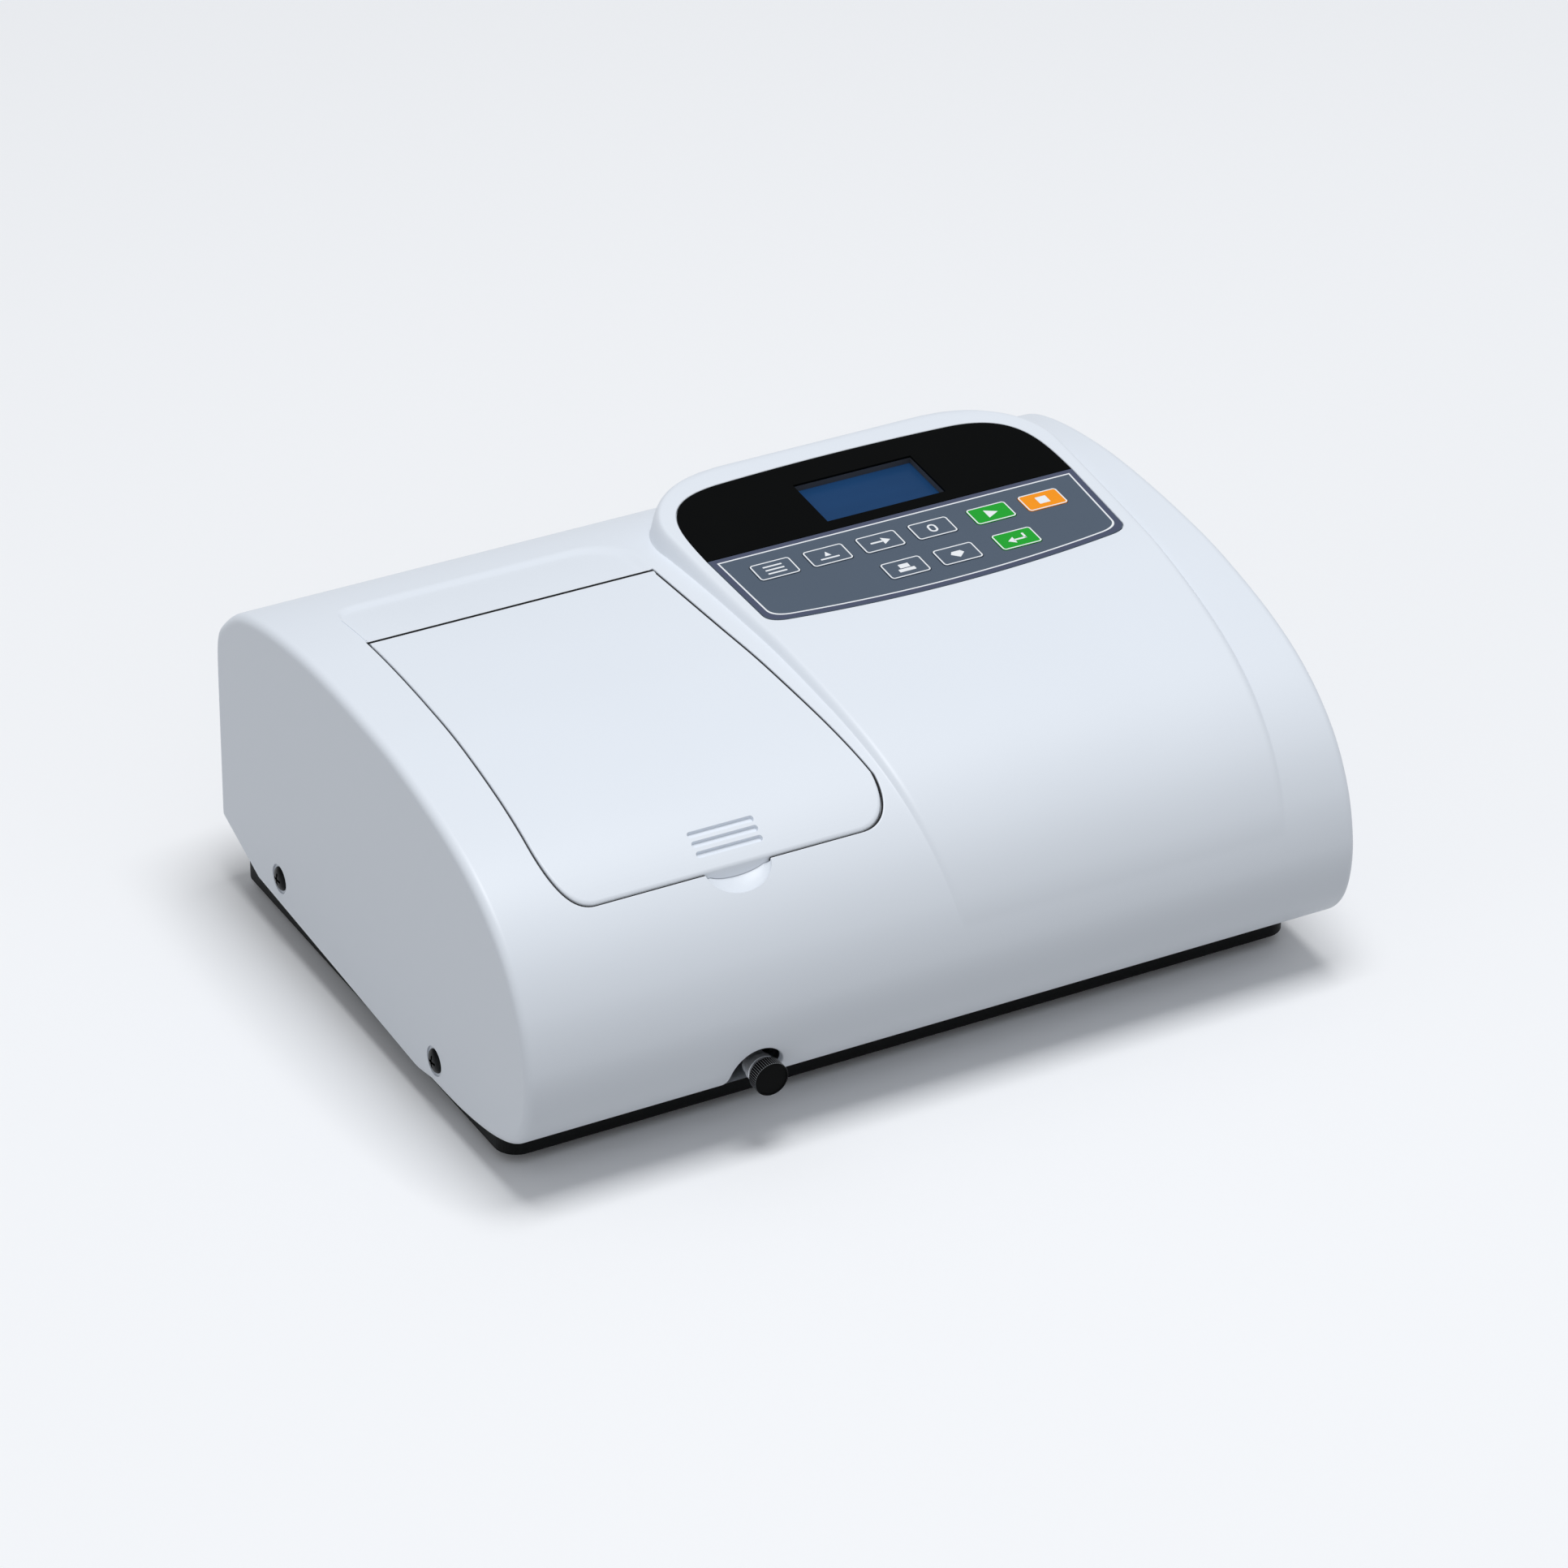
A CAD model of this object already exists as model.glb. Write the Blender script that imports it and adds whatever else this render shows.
"""Looks of a bench UV-visible spectrophotometer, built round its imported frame.

Lengths inside the shape functions are in millimetres, in the cover's own frame: X runs to the right from
the middle, Y to the back from the front bulge and Z up from the cover's lowest edge. Each mesh is put into
the frame's metres when it is made.
"""
import math

import bpy
import numpy as np
from mathutils import Matrix, Vector


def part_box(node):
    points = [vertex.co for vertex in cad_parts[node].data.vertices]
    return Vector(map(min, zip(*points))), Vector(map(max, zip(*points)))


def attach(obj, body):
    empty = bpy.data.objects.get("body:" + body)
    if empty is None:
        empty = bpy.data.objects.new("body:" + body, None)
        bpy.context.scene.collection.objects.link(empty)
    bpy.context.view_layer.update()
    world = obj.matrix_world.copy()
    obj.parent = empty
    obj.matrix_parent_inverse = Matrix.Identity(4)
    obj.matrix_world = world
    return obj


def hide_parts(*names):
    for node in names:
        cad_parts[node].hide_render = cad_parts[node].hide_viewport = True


bl_info = {
    "name": "Bench spectrophotometer",
    "version": (1, 0, 0),
    "blender": (4, 5, 0),
    "location": "3D View > Sidebar > Spectrophotometer",
    "description": "Builds the cover, lid, console, controls and back of a bench spectrophotometer",
    "category": "Add Mesh",
}

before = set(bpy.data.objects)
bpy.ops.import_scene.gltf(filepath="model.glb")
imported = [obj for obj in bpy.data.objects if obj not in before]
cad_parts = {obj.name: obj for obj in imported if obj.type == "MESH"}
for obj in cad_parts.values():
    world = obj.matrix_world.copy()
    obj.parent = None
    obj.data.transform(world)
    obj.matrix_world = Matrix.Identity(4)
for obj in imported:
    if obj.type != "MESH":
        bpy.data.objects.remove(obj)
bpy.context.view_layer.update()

MM = 0.001
# The play between two pieces, how far a cutter reaches past what it cuts, and how far under the skin a rib
# that joins the cover begins.
GAP, OVERRUN, RIB_TOP = 0.3, 6.0, 1.5


def box_mm(node):
    """Lowest and highest corner of a CAD node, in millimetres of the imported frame."""
    low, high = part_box(node)
    return np.array(low) / MM, np.array(high) / MM


COVER_LOW, COVER_HIGH = box_mm("housing")


def linear(hex_code):
    """The linear colour of an sRGB hex value."""
    value = int(hex_code, 16)
    parts = [(value >> shift & 255) / 255 for shift in (16, 8, 0)]
    return [p / 12.92 if p <= 0.04045 else ((p + 0.055) / 1.055) ** 2.4 for p in parts]


# Side profile of the cover from the low front round the bulge and over the top to the rear wall, as shares
# of its depth and height.
PROFILE_SHARES = np.array([
    (0.3075, 0.0), (0.209, 0.0076), (0.1226, 0.0343), (0.0596, 0.0791), (0.0219, 0.1453),
    (0.0028, 0.2442), (0.0003, 0.3779), (0.0211, 0.5407), (0.0695, 0.6936), (0.1485, 0.8192),
    (0.2526, 0.9058), (0.3918, 0.9686), (0.5044, 0.9913), (0.6245, 1.0), (0.7294, 0.9919),
    (0.8374, 0.9605), (0.9179, 0.9099), (0.9727, 0.8256), (0.9955, 0.7558), (1.0, 0.6395),
])
# Two points of the sides' lower edge near the rear, the share of the depth where the skirt starts, the
# profile's points at the bulge and at the crest, and how many places the profile is tabled at.
SIDE_EDGE_SHARES = ((0.87, 0.0547), (1.0, 0.155))
SKIRT_START_SHARE = 0.45
BULGE_POINT, CREST_POINT, TABLE_POINTS = 6, 13, 6001

# Grid of the cover: columns across each wall of the console as shares of its width, rows round the console's
# rear corners and just behind them, and columns over its top, over the flats beside it and round the edges.
# The grid of the hollow is coarser. The skirt ends at a height, the sides sink a little past their
# rounding, and the columns' spread is limited where a wall curls away.
GRID = {"wall": (-0.5, -0.15, 0, 0.06, 0.13, 0.21, 0.3, 0.4, 0.51, 0.63, 0.76, 0.9, 1.05, 1.3, 1.8),
        "corner": 40, "behind": (0.4, 1.2), "top": 36, "left_flat": 14, "right_flat": 6, "edge": 9}
HOLLOW_GRID = {"wall": (-0.2, 0, 0.15, 0.35, 0.6, 1.1, 1.8), "corner": 14, "behind": (0.8, 2.4), "top": 8,
               "detail": 6}
SKIRT_LOW, SIDE_SINK, WIDEST = -8.0, 0.8, 4.0

# Lid, hinge and light seal, seen from above. The front corners begin a depth behind the front, and the
# right edge leaves its corner at a share of that depth.
LID = {"left": -198.5, "rear": 246.6, "front": 35.3, "right_rear": -38.9, "right_front": -14.8, "bend": -38.0,
       "bend_rear": 160.0, "corner": 19.6, "corner_depth": 34.0, "knee_share": 0.7}
LID_SEAT, LID_LEDGE, LEDGE_MARGIN = 3.0, 6.0, 9.0
LEDGE_X = (LID["left"] - LEDGE_MARGIN, LID["right_front"] + LEDGE_MARGIN)
BARREL, PIN, EAR = 3.0, 1.2, 6.0
TROUGH_X = (LID["left"] - GAP, LID["right_rear"] + GAP)
EARS_X = (TROUGH_X[0] - EAR, TROUGH_X[1] + EAR)
SEAM_START = 20.0
CHAMBER = {"left": -190.5, "right": -47.5, "front": 50.5, "rear": 237.5, "corner": 6.0}
SEAL_DROP, SEAL_GAP, SEAL_REAR, SEAL_OVERLAP, SEAL_TALL, SEAL_PLAY = 0.9, 0.45, 0.85, 0.3, 1.2, 0.1

# Grip: three grooves, each with (growth, height) levels from its floor to past the skin, the scoop's half
# width, half depth and drop, and the lid's lip over the scoop.
GRIP_X, GRIP_Y, GRIP_WIDTH, GRIP_DEPTH = (-120.5, -84.2), (42.9, 47.7, 52.5), 3.2, 2.1
GRIP_LEVELS = ((-0.3, -GRIP_DEPTH), (0, -GRIP_DEPTH + 0.4), (0, -0.45), (0.15, -0.1), (0.45, 0.03),
               (0.45, 3.0))
SCOOP, SCOOP_WALL = (18.2, 15.0, 6.0), 2.0
LIP, LIP_PLAY, LIP_INSET = 1.6, 0.02, 0.5

# Recess behind the lid. Its bead has a width and a height, starts a little behind the lid and reaches down
# into the skin.
RECESS_DEPTH, RECESS_LENGTH, RECESS_RIGHT, RECESS_CORNER = 1.7, 43.0, -40.0, 26.0
RECESS_SLOPE, RECESS_TURN, RECESS_OVERLAP, RECESS_LEFT_GROWTH = 7.5, 13.0, 0.6, 0.08
RECESS_CLEAR, RECESS_RINGS, RECESS_FLOOR = 8.0, 9, (0.02, 0.25, 0.5, 0.75)
RECESS_BEAD, BEAD_INSET, BEAD_ROOT, BEAD_START = (0.9, 0.35), 0.1, 1.0, 1.5

# Console: its left and its right side sweep in towards the front by a distance times a power of the way,
# and its walls round over into the crown.
CONSOLE_SWEEP = (33.5, 2.2, 17.0, 1.5)
CONSOLE_RISE, CONSOLE_TILT = 6.9, 4.3
CONSOLE_FADE = 79.0
CROWN_POWER, FADE_POWER = 2.5, 0.8
FILLET_SHARE = 0.12

# Display and keypad in the panel plane. Levels are (growth of the outline, height over the plane).
PANEL = {"centre": 90.8, "divider": 228.5, "half": 107.0, "bezel": 64.3, "keypad": 69.4, "inset": 12.0}
BEZEL_SHARES = {"flat": 0.617, "corner": 0.95, "shoulder": 0.53, "rear": 1.034}
KEYPAD_SHARES = {"foot": 0.979, "heel": 0.78, "knee": 0.89, "end": 0.91, "front": 1.09}
PANEL_THICK, POCKET, BACKING, BACKING_MARGIN = 1.2, 1.5, 3.6, 4.0
POCKET_LEVELS = ((GAP, -POCKET), (GAP, -0.5), (GAP + 0.15, -0.2), (GAP + 0.5, 0.05), (GAP + 0.5, OVERRUN))
BEZEL_LEVELS = ((0, -PANEL_THICK), (0, -0.3), (-0.1, -0.1), (-0.3, 0))
WINDOW, WINDOW_PLAY = (-33.0, 36.4, 8.2, 45.8), 1.0
WINDOW_LEVELS = ((0, -OVERRUN), (0, -0.15), (0.15, 0.01), (0.15, OVERRUN))
GLASS_DROP = 5.0
CELL_LEVELS = ((0.15, -GLASS_DROP + 0.05), (0.15, -GLASS_DROP + 0.5))
FRAME_WALL = (0.28, 0.02, -GLASS_DROP + 0.1, -PANEL_THICK - 0.05)

# Keypad film, printed lines and keys. The border line is a share wider than the lines round the keys.
FILM_LEVELS = ((0, -PANEL_THICK), (0, -0.2), (-0.2, 0))
BAND_OUTER, BAND_INNER, BAND_TOP, BORDER_TOP, BORDER_SHARE, INK_ROOT = -0.3, -3.4, 0.05, 0.08, 1.2, -0.02
KEY_PITCH, KEY_ROW, KEY_ROW_PITCH, KEY_BLOCKS = 30.6, -20.3, 26.4, (-79.1, 47.3)
KEY_PLAY, KEY_LEAST_CORNER = 0.6, 0.2
KEY_LEVELS = ((0, -2.3), (0, 0.1), (-0.06, 0.22), (-0.2, 0.3))
KEY_STEM, KEY_STEM_LOW, KEY_STEM_TOP = 3.0, -9.2, -1.0
PRINT_INSET, PRINT_LOW, PRINT_TOP = -0.2, 0.25, 0.36
SYMBOL_SCALE = 1.3
RING_SYMBOL = {"key": 3, "half_width": 2.5, "half_depth": 3.5, "stroke": 1.1}
KEY_LOOKS = {4: ("green", "key_green"), 5: ("orange", "key_orange"), 8: ("green", "key_green")}

# Base tray, the cover's lower ends and the side screws. A cross slot is given by half its length and half
# its width.
BASE_INSET, BASE_FRONT, BASE_DROP = 9.0, 43.3, 10.5
COVER_LIP = 19.7
LOW_END = -BASE_DROP - OVERRUN
SCREW_PLACES = ((103.8, 15.0), (283.7, 22.4))
SCREW_SEAT, SCREW_SEAT_DEPTH, SCREW_BORE, SCREW_BORE_DEPTH, SCREW_BOSS = 8.0, 1.2, 2.8, 20.0, 7.0
SCREW_DOME, SCREW_RIM, SCREW_NECK, SCREW_NECK_END = 2.6, 0.15, 2.5, -12.0
SCREW_SLOT, SCREW_SLOT_DEPTH, SCREW_SLOT_CLEAR = (3.5, 0.7), 1.2, 3.0

# Pull rod. The knob's levels are (place behind its face, share of its radius, depth of its ribs), and the
# ribs are narrow because their wave is raised to a power.
ROD_X, ROD_Z, ROD, ROD_END, ROD_CHAMFER, ROD_SIDES = -103.3, 26.2, 4.0, 3.6, 0.4, 96
NOTCH_X, NOTCH_Z, NOTCH, NOTCH_SILL, NOTCH_ROUNDING, NOTCH_START = -106.7, 28.2, 13.9, 14.5, 0.8, -20.0
KNOB_CAP, KNOB_FACE, KNOB_BORE, RIB_POWER, RIB_POINTS = 7.2, 2.5, 4.3, 2.5, 8
KNOB_LEVELS = ((0.45, 0.90, 0.0), (0.0, 0.91, 0.0), (0.02, 0.945, 0.0), (0.2, 0.98, 0.0), (0.45, 1.0, 0.1),
               (0.7, 1.0, 0.55), (KNOB_CAP - 0.5, 1.0, 0.55), (KNOB_CAP - 0.2, 0.99, 0.1),
               (KNOB_CAP, 0.95, 0.0))
COLLAR, COLLAR_NECK, COLLAR_FLANGE = 7.8, 6.8, 4.0
CARRIAGE_TRAVEL, CARRIAGE_ROOM = 66.0, 3.0
REAR_WINDOW = (-126.0, 200.0, 101.0)

# Details of the back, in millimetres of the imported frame: the inlet's pins with half their width and height
# and their front and rear, and the screws with their radius and height.
INLET_PINS = ((-107.0, 78.5), (-100.0, 80.5), (-93.0, 78.5))
INLET_PIN, INLET_PIN_Y, SKIN_OVER = (1.0, 2.0), (162.25, 174.15), 0.05
PANEL_SCREW, PANEL_SLOT, PANEL_SLOT_DEPTH, PANEL_SLOT_CLEAR = (2.8, 1.7), (1.7, 0.35), 0.9, 2.0
PANEL_SCREW_PLACES = tuple((x, z) for x in (-118.0, 40.0, 192.0) for z in (24.0, 113.0))
ROCKER = {"face": 2.4, "reach": 10.8, "tilt": 8.0}
ROCKER_LINE, ROCKER_RING, ROCKER_STROKE, ROCKER_INK_TOP = (0.3, 2.2, 0.25), 2.1, 0.55, 0.06

# Studio: the floor reaches this far from the middle, and both lights aim a little over it.
FLOOR_REACH, LIGHT_AIM, LIGHT_TINT = 6.0, (0.0, 0.0, 0.1), (0.97, 0.985, 1.0)
WORLD_COLOUR, WORLD_STRENGTH = (0.93, 0.96, 1.0, 1.0), 0.42
SENSOR_WIDTH, CAMERA_REACH = 36.0, 50.0


# Sizes and colours that a user would change.
def size(name, description, default):
    """A length whose default is given in millimetres."""
    return bpy.props.FloatProperty(name=name, description=description, default=default * MM,
                                   subtype="DISTANCE", unit="LENGTH", precision=4)


def colour(name, description, hex_code):
    """A colour whose default is given as an sRGB hex value."""
    return bpy.props.FloatVectorProperty(name=name, description=description, default=linear(hex_code),
                                         subtype="COLOR", size=3, min=0.0, max=1.0)


def number(name, description, default):
    """A plain number."""
    return bpy.props.FloatProperty(name=name, description=description, default=default)


class CoverSettings(bpy.types.PropertyGroup):
    """Sizes and colours of the moulded cover and its lid."""

    width: size("Width", "Width over the side walls", COVER_HIGH[0] - COVER_LOW[0])
    depth: size("Depth", "Depth from the front bulge to the rear wall", COVER_HIGH[1] - COVER_LOW[1])
    height: size("Height", "Height of the cover without the console", 172.0)
    edge_radius: size("Edge radius", "Rounding between the top and the side walls", 5.0)
    wall: size("Wall", "Wall thickness of the cover", 3.0)
    lid_thickness: size("Lid thickness", "Thickness of the lid", 3.0)
    lid_clearance: size("Lid clearance", "Seam between the lid and the cover", 1.1)
    seam_rounding: size("Seam rounding", "Rounding of the cover's edge along the lid", 0.65)
    lid_rounding: size("Lid rounding", "Rounding of the lid's own edge", 1.1)
    colour: colour("Cover colour", "Cool white of the moulding", "E9EEF5")
    detail: bpy.props.IntProperty(name="Detail", description="Steps between two points of the profile",
                                  default=14, min=3, max=24)


class ConsoleSettings(bpy.types.PropertyGroup):
    """Sizes and colours of the console with its display and keys."""

    left: size("Left foot", "Left foot of the console at its rear, from the middle", -27.0)
    right: size("Right foot", "Right foot of the console at its rear, from the middle", 211.0)
    rear: size("Rear foot", "Rear foot of the console, from the front bulge", 317.0)
    corner_radius: size("Corner radius", "Radius of the console's rear corners", 60.0)
    side_wall: size("Side wall", "Width of the console's side walls, seen from above", 5.0)
    rear_wall: size("Rear wall", "Width of the console's rear wall, seen from above", 20.0)
    key_width: size("Key width", "Width of a key", 23.2)
    key_depth: size("Key depth", "Depth of a key", 15.0)
    key_radius: size("Key corner", "Corner radius of a key", 2.2)
    line_width: size("Line width", "Width of the printed lines", 0.75)
    bezel: colour("Bezel colour", "Gloss black round the display", "090A0A")
    field: colour("Keypad field", "Blue grey of the keypad's field", "54606F")
    band: colour("Keypad band", "Violet grey of the keypad's edge band", "4A5169")
    display: colour("Display colour", "Blue of the display at rest", "1C3E66")
    green: colour("Green keys", "Colour of the start and enter keys", "12A528")
    orange: colour("Orange key", "Colour of the stop key", "FF9905")
    ink: colour("Ink colour", "White of the printed lines and symbols", "F2F4F6")


class BaseSettings(bpy.types.PropertyGroup):
    """Sizes and colours of the base tray, the pull rod and the back."""

    knob_radius: size("Knob radius", "Radius of the pull knob", 9.2)
    knob_ribs: bpy.props.IntProperty(name="Knob ribs", description="Ribs round the pull knob",
                                     default=48, min=8)
    screw_radius: size("Screw head", "Radius of the side screws' heads", 6.5)
    paint: colour("Paint", "Satin black of the base tray and the back", "0A0B0B")
    plastic: colour("Black plastic", "Black of the knob, screws and sockets", "0D0E0E")


class StageSettings(bpy.types.PropertyGroup):
    """Floor, lights and camera."""

    lens: bpy.props.FloatProperty(name="Lens", description="Focal length on a 36 mm sensor", default=166.27,
                                  unit="CAMERA")
    azimuth: bpy.props.FloatProperty(name="Azimuth", description="Camera turned to the left of the front",
                                     default=math.radians(28.67), subtype="ANGLE")
    elevation: bpy.props.FloatProperty(name="Elevation", description="Camera above the horizon",
                                       default=math.radians(31.01), subtype="ANGLE")
    roll: bpy.props.FloatProperty(name="Roll", description="Camera turned about its own axis",
                                  default=math.radians(0.47), subtype="ANGLE")
    place: bpy.props.FloatVectorProperty(name="Camera place", description="Place of the camera",
                                         default=(-1.5216, -2.78335, 1.9940), subtype="TRANSLATION",
                                         unit="LENGTH")
    key_light: number("Key light", "Strength of the overhead softbox in watts", 154.0)
    fill_light: number("Fill light", "Strength of the softbox at the left in watts", 6.0)
    floor: colour("Floor colour", "Pale floor", "FCFCFD")


# Meshes.
class Form:
    """The cover's shared shapes: its side profile, what lies under its skin, and the console's height."""

    def __init__(self, scene):
        cover, console = scene.spectro_cover, scene.spectro_console
        self.width, self.depth, self.height = cover.width / MM, cover.depth / MM, cover.height / MM
        self.half = self.width / 2
        self.edge, self.wall = cover.edge_radius / MM, cover.wall / MM
        self.detail = cover.detail
        self.left, self.right, self.rear = console.left / MM, console.right / MM, console.rear / MM
        self.corner = console.corner_radius / MM
        self.side_wall, self.rear_wall = console.side_wall / MM, console.rear_wall / MM
        self.offset = np.array([0.0, COVER_HIGH[1] - self.depth, COVER_LOW[2]])
        self.table = np.linspace(0, 1, TABLE_POINTS)
        points, _ = self.at(self.table)
        self.table_y, self.table_z = points.T
        steps = np.linalg.norm(np.diff(points, axis=0), axis=1)
        self.table_s = np.concatenate([[0], np.cumsum(steps)])
        last = len(PROFILE_SHARES) - 1
        self.bulge, self.crest = BULGE_POINT / last, CREST_POINT / last
        self.tilt = math.radians(CONSOLE_TILT)
        self.plane = self.z_of_y(PANEL["divider"]) + CONSOLE_RISE
        front = self.table <= self.crest
        self.s_fade = self.s_of_t(np.interp(CONSOLE_FADE, self.table_z[front], self.table[front]))
        self.s_keypad = self.s_of_t(self.t_of_y(PANEL["divider"] - PANEL["keypad"]))
        self.s_rear = self.s_of_t(self.t_of_y(self.rear))
        self.hinge_y = LID["rear"] - BARREL
        self.hinge_z = float(self.skin(np.array([self.t_of_y(self.hinge_y)]), BARREL)[0, 1])

    def at(self, place):
        """Points and unit tangents of a Catmull-Rom curve: between two points of the profile the curve is the
        cubic whose end slopes are half the steps between the points' neighbours."""
        knots = PROFILE_SHARES * (self.depth, self.height)
        last = len(knots) - 1
        exact = np.clip(place, 0, 1) * last
        i = np.minimum(exact.astype(int), last - 1)
        w = (exact - i)[:, None]
        before, start, end, after = (knots[np.clip(i + k, 0, last)] for k in (-1, 0, 1, 2))
        v0, v1 = (end - before) / 2, (after - start) / 2
        a, b = 2 * start - 2 * end + v0 + v1, -3 * start + 3 * end - 2 * v0 - v1
        along = (3 * a * w + 2 * b) * w + v0
        return ((a * w + b) * w + v0) * w + start, along / np.linalg.norm(along, axis=1, keepdims=True)

    def skin(self, place, below):
        """Points a depth below the skin: the profile's point plus the depth along its inward normal."""
        points, along = self.at(place)
        return points + np.stack([along[:, 1], -along[:, 0]], 1) * np.reshape(below, (-1, 1))

    def t_of_y(self, y):
        """Place on the profile's upper stretch at a distance from the front."""
        upper = self.table >= self.bulge
        return np.interp(y, self.table_y[upper], self.table[upper])

    def z_of_y(self, y):
        """Height of the skin at a distance from the front."""
        upper = self.table >= self.bulge
        return np.interp(y, self.table_y[upper], self.table_z[upper])

    def y_of_z(self, z):
        """Distance of the front skin from the bulge at a height."""
        front = self.table <= self.crest
        return np.interp(z, self.table_z[front], self.table_y[front])

    def s_of_t(self, place):
        """Length along the profile up to a place on it."""
        return np.interp(place, self.table, self.table_s)

    def t_of_s(self, station):
        """Place on the profile at a length along it."""
        return np.interp(station, self.table_s, self.table)

    def on_skin(self, outline, over):
        """An outline seen from above, laid a height over the skin."""
        return np.hstack([outline, self.z_of_y(outline[:, 1])[:, None] + over])

    def against_skin(self, points, y):
        """Points round the origin, leaned to the skin's slope at a distance from the front and moved to
        it."""
        middle, along = (row[0] for row in self.at(np.array([self.t_of_y(y)])))
        slope = math.atan2(along[1], along[0])
        c, s = math.cos(slope), math.sin(slope)
        x, across, over = points.T
        return np.stack([x, across * c - over * s + middle[0], across * s + over * c + middle[1]], 1)

    def plane_rise(self, place):
        """Height of the panel plane over the skin, measured square to the skin."""
        points, along = self.at(np.atleast_1d(place))
        slope = math.tan(self.tilt)
        plane = self.plane + slope * (points[:, 0] - PANEL["divider"])
        return (plane - points[:, 1]) / (along[:, 0] + slope * along[:, 1])

    def console_sides(self, station):
        """Left and right foot of the console: its rear width, swept in by a power of the way forward."""
        forward = np.maximum(0, (self.s_rear - station) / (self.s_rear - self.s_fade))
        forward = np.minimum(forward, 1.0)
        sweep, power, right_sweep, right_power = CONSOLE_SWEEP
        return self.left + sweep * forward ** power, self.right - right_sweep * forward ** right_power

    def lift(self, station, x, inset=0.0):
        """Height of the console over the skin: the crown's height, which follows the panel plane and fades
        out to the front, times a rise that starts with a small fillet at the foot and rounds over at the
        crown."""
        share = np.clip((station - self.s_fade) / (self.s_keypad - self.s_fade), 0, 1)
        keypad = self.plane_rise(self.t_of_s(self.s_keypad))[0]
        crown = np.where(station >= self.s_keypad, self.plane_rise(self.t_of_s(station)),
                         keypad * share ** FADE_POWER)
        left, right = self.console_sides(station)
        corner = self.corner - inset
        across = np.minimum(x - left, right - x) - inset
        a = np.clip((corner - across) / corner, 0, 1)
        b = np.clip((corner - (self.s_rear - inset - station)) / corner, 0, 1)
        spread = np.hypot(a, b)
        safe = np.maximum(spread, 1e-9)
        wall = self.side_wall * (a / safe) ** 2 + self.rear_wall * (b / safe) ** 2
        t = np.clip((1 - spread) * corner / np.maximum(wall, 1e-9), 0, 1)
        t = t * t * (1 + FILLET_SHARE) / (t + FILLET_SHARE)
        rise = np.where(spread < 1e-9, 1.0, 1 - (1 - t) ** CROWN_POWER)
        return np.where(station < self.s_fade, 0.0, crown * rise)

    def to_frame(self, points):
        """Cover millimetres to the frame's metres."""
        return (np.asarray(points, float) + self.offset) * MM

    def in_panel(self, points):
        """Panel places (right, up the slope, out of the plane) to cover millimetres."""
        u, v, w = np.asarray(points, float).T
        c, s = math.cos(self.tilt), math.sin(self.tilt)
        return np.stack([PANEL["centre"] + u, PANEL["divider"] + v * c - w * s,
                         self.plane + v * s + w * c], 1)


def bezier(handles, count):
    """Points of a Bezier curve without its last: neighbours are blended by the way along it until one is
    left."""
    t = np.arange(count)[:, None] / count
    rest = [np.broadcast_to(np.asarray(h, float), (count, 2)) for h in handles]
    while len(rest) > 1:
        rest = [a * (1 - t) + b * t for a, b in zip(rest, rest[1:])]
    return rest[0]


def path(*curves):
    """An outline out of Bezier curves that meet, each given by its handles and its count of points."""
    return np.concatenate([bezier(handles, count) for handles, count in curves])


def arc(centre, radius, start, end, count):
    """Points of an arc from one angle to another, in degrees, without its last."""
    angle = np.radians(start + (end - start) * np.arange(count) / count)
    return np.stack([centre[0] + radius * np.cos(angle), centre[1] + radius * np.sin(angle)], 1)


def rounded(x0, x1, y0, y1, radius, count=10):
    """Outline of a rectangle with four quarter arcs."""
    corners = [(x1 - radius, y0 + radius, -90), (x1 - radius, y1 - radius, 0), (x0 + radius, y1 - radius, 90),
               (x0 + radius, y0 + radius, 180)]
    return np.concatenate([arc((x, y), radius, a, a + 90, count + 1) for x, y, a in corners])


def at_height(outline, height):
    """An outline seen from above, laid flat at a height."""
    return np.hstack([outline, np.full((len(outline), 1), height, float)])


def ring_faces(rings, count, closed=False):
    """Faces of a loft: quads between each ring and the next, and one face across each open end."""
    i, j = np.meshgrid(np.arange(rings if closed else rings - 1), np.arange(count), indexing="ij")
    k, n = (i + 1) % rings, (j + 1) % count
    quads = np.stack([i * count + j, i * count + n, k * count + n, k * count + j], -1).reshape(-1, 4)
    ends = [] if closed else [list(range(count - 1, -1, -1)), list(range((rings - 1) * count, rings * count))]
    return quads.tolist() + ends


def loft(rings, closed=False):
    """A closed body carried through rings of equal counts. Its faces are turned round where its volume, the
    sum over triangles of each corner's product with the cross of the two others, comes out negative."""
    rings = np.asarray(rings, float)
    faces = ring_faces(len(rings), rings.shape[1], closed)
    keep = slice(None) if closed else slice(0, -1)
    a, d = rings[keep], np.roll(rings, -1, axis=0)[keep]
    b, c = np.roll(a, -1, axis=1), np.roll(d, -1, axis=1)
    volume = np.einsum("ijk,ijk->", a, np.cross(b, c)) + np.einsum("ijk,ijk->", a, np.cross(c, d))
    if not closed:
        for ring, sign in ((rings[0], -1), (rings[-1], 1)):
            volume += sign * np.einsum("k,ik->", ring.mean(0), np.cross(ring, np.roll(ring, -1, axis=0)))
    if volume < 0:
        faces = [face[::-1] for face in faces]
    return rings.reshape(-1, 3), faces


def layered(outline, levels, closed=False):
    """A body with an outline that grows and shrinks from level to level: each level is (growth, height)."""
    return loft([at_height(outline(grow), height) for grow, height in levels], closed)


def strip(outline, outer, inner, low, high):
    """A flat closed line between two growths of an outline, from one height to another."""
    return layered(outline, [(outer, low), (outer, high), (inner, high), (inner, low)], closed=True)


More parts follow.
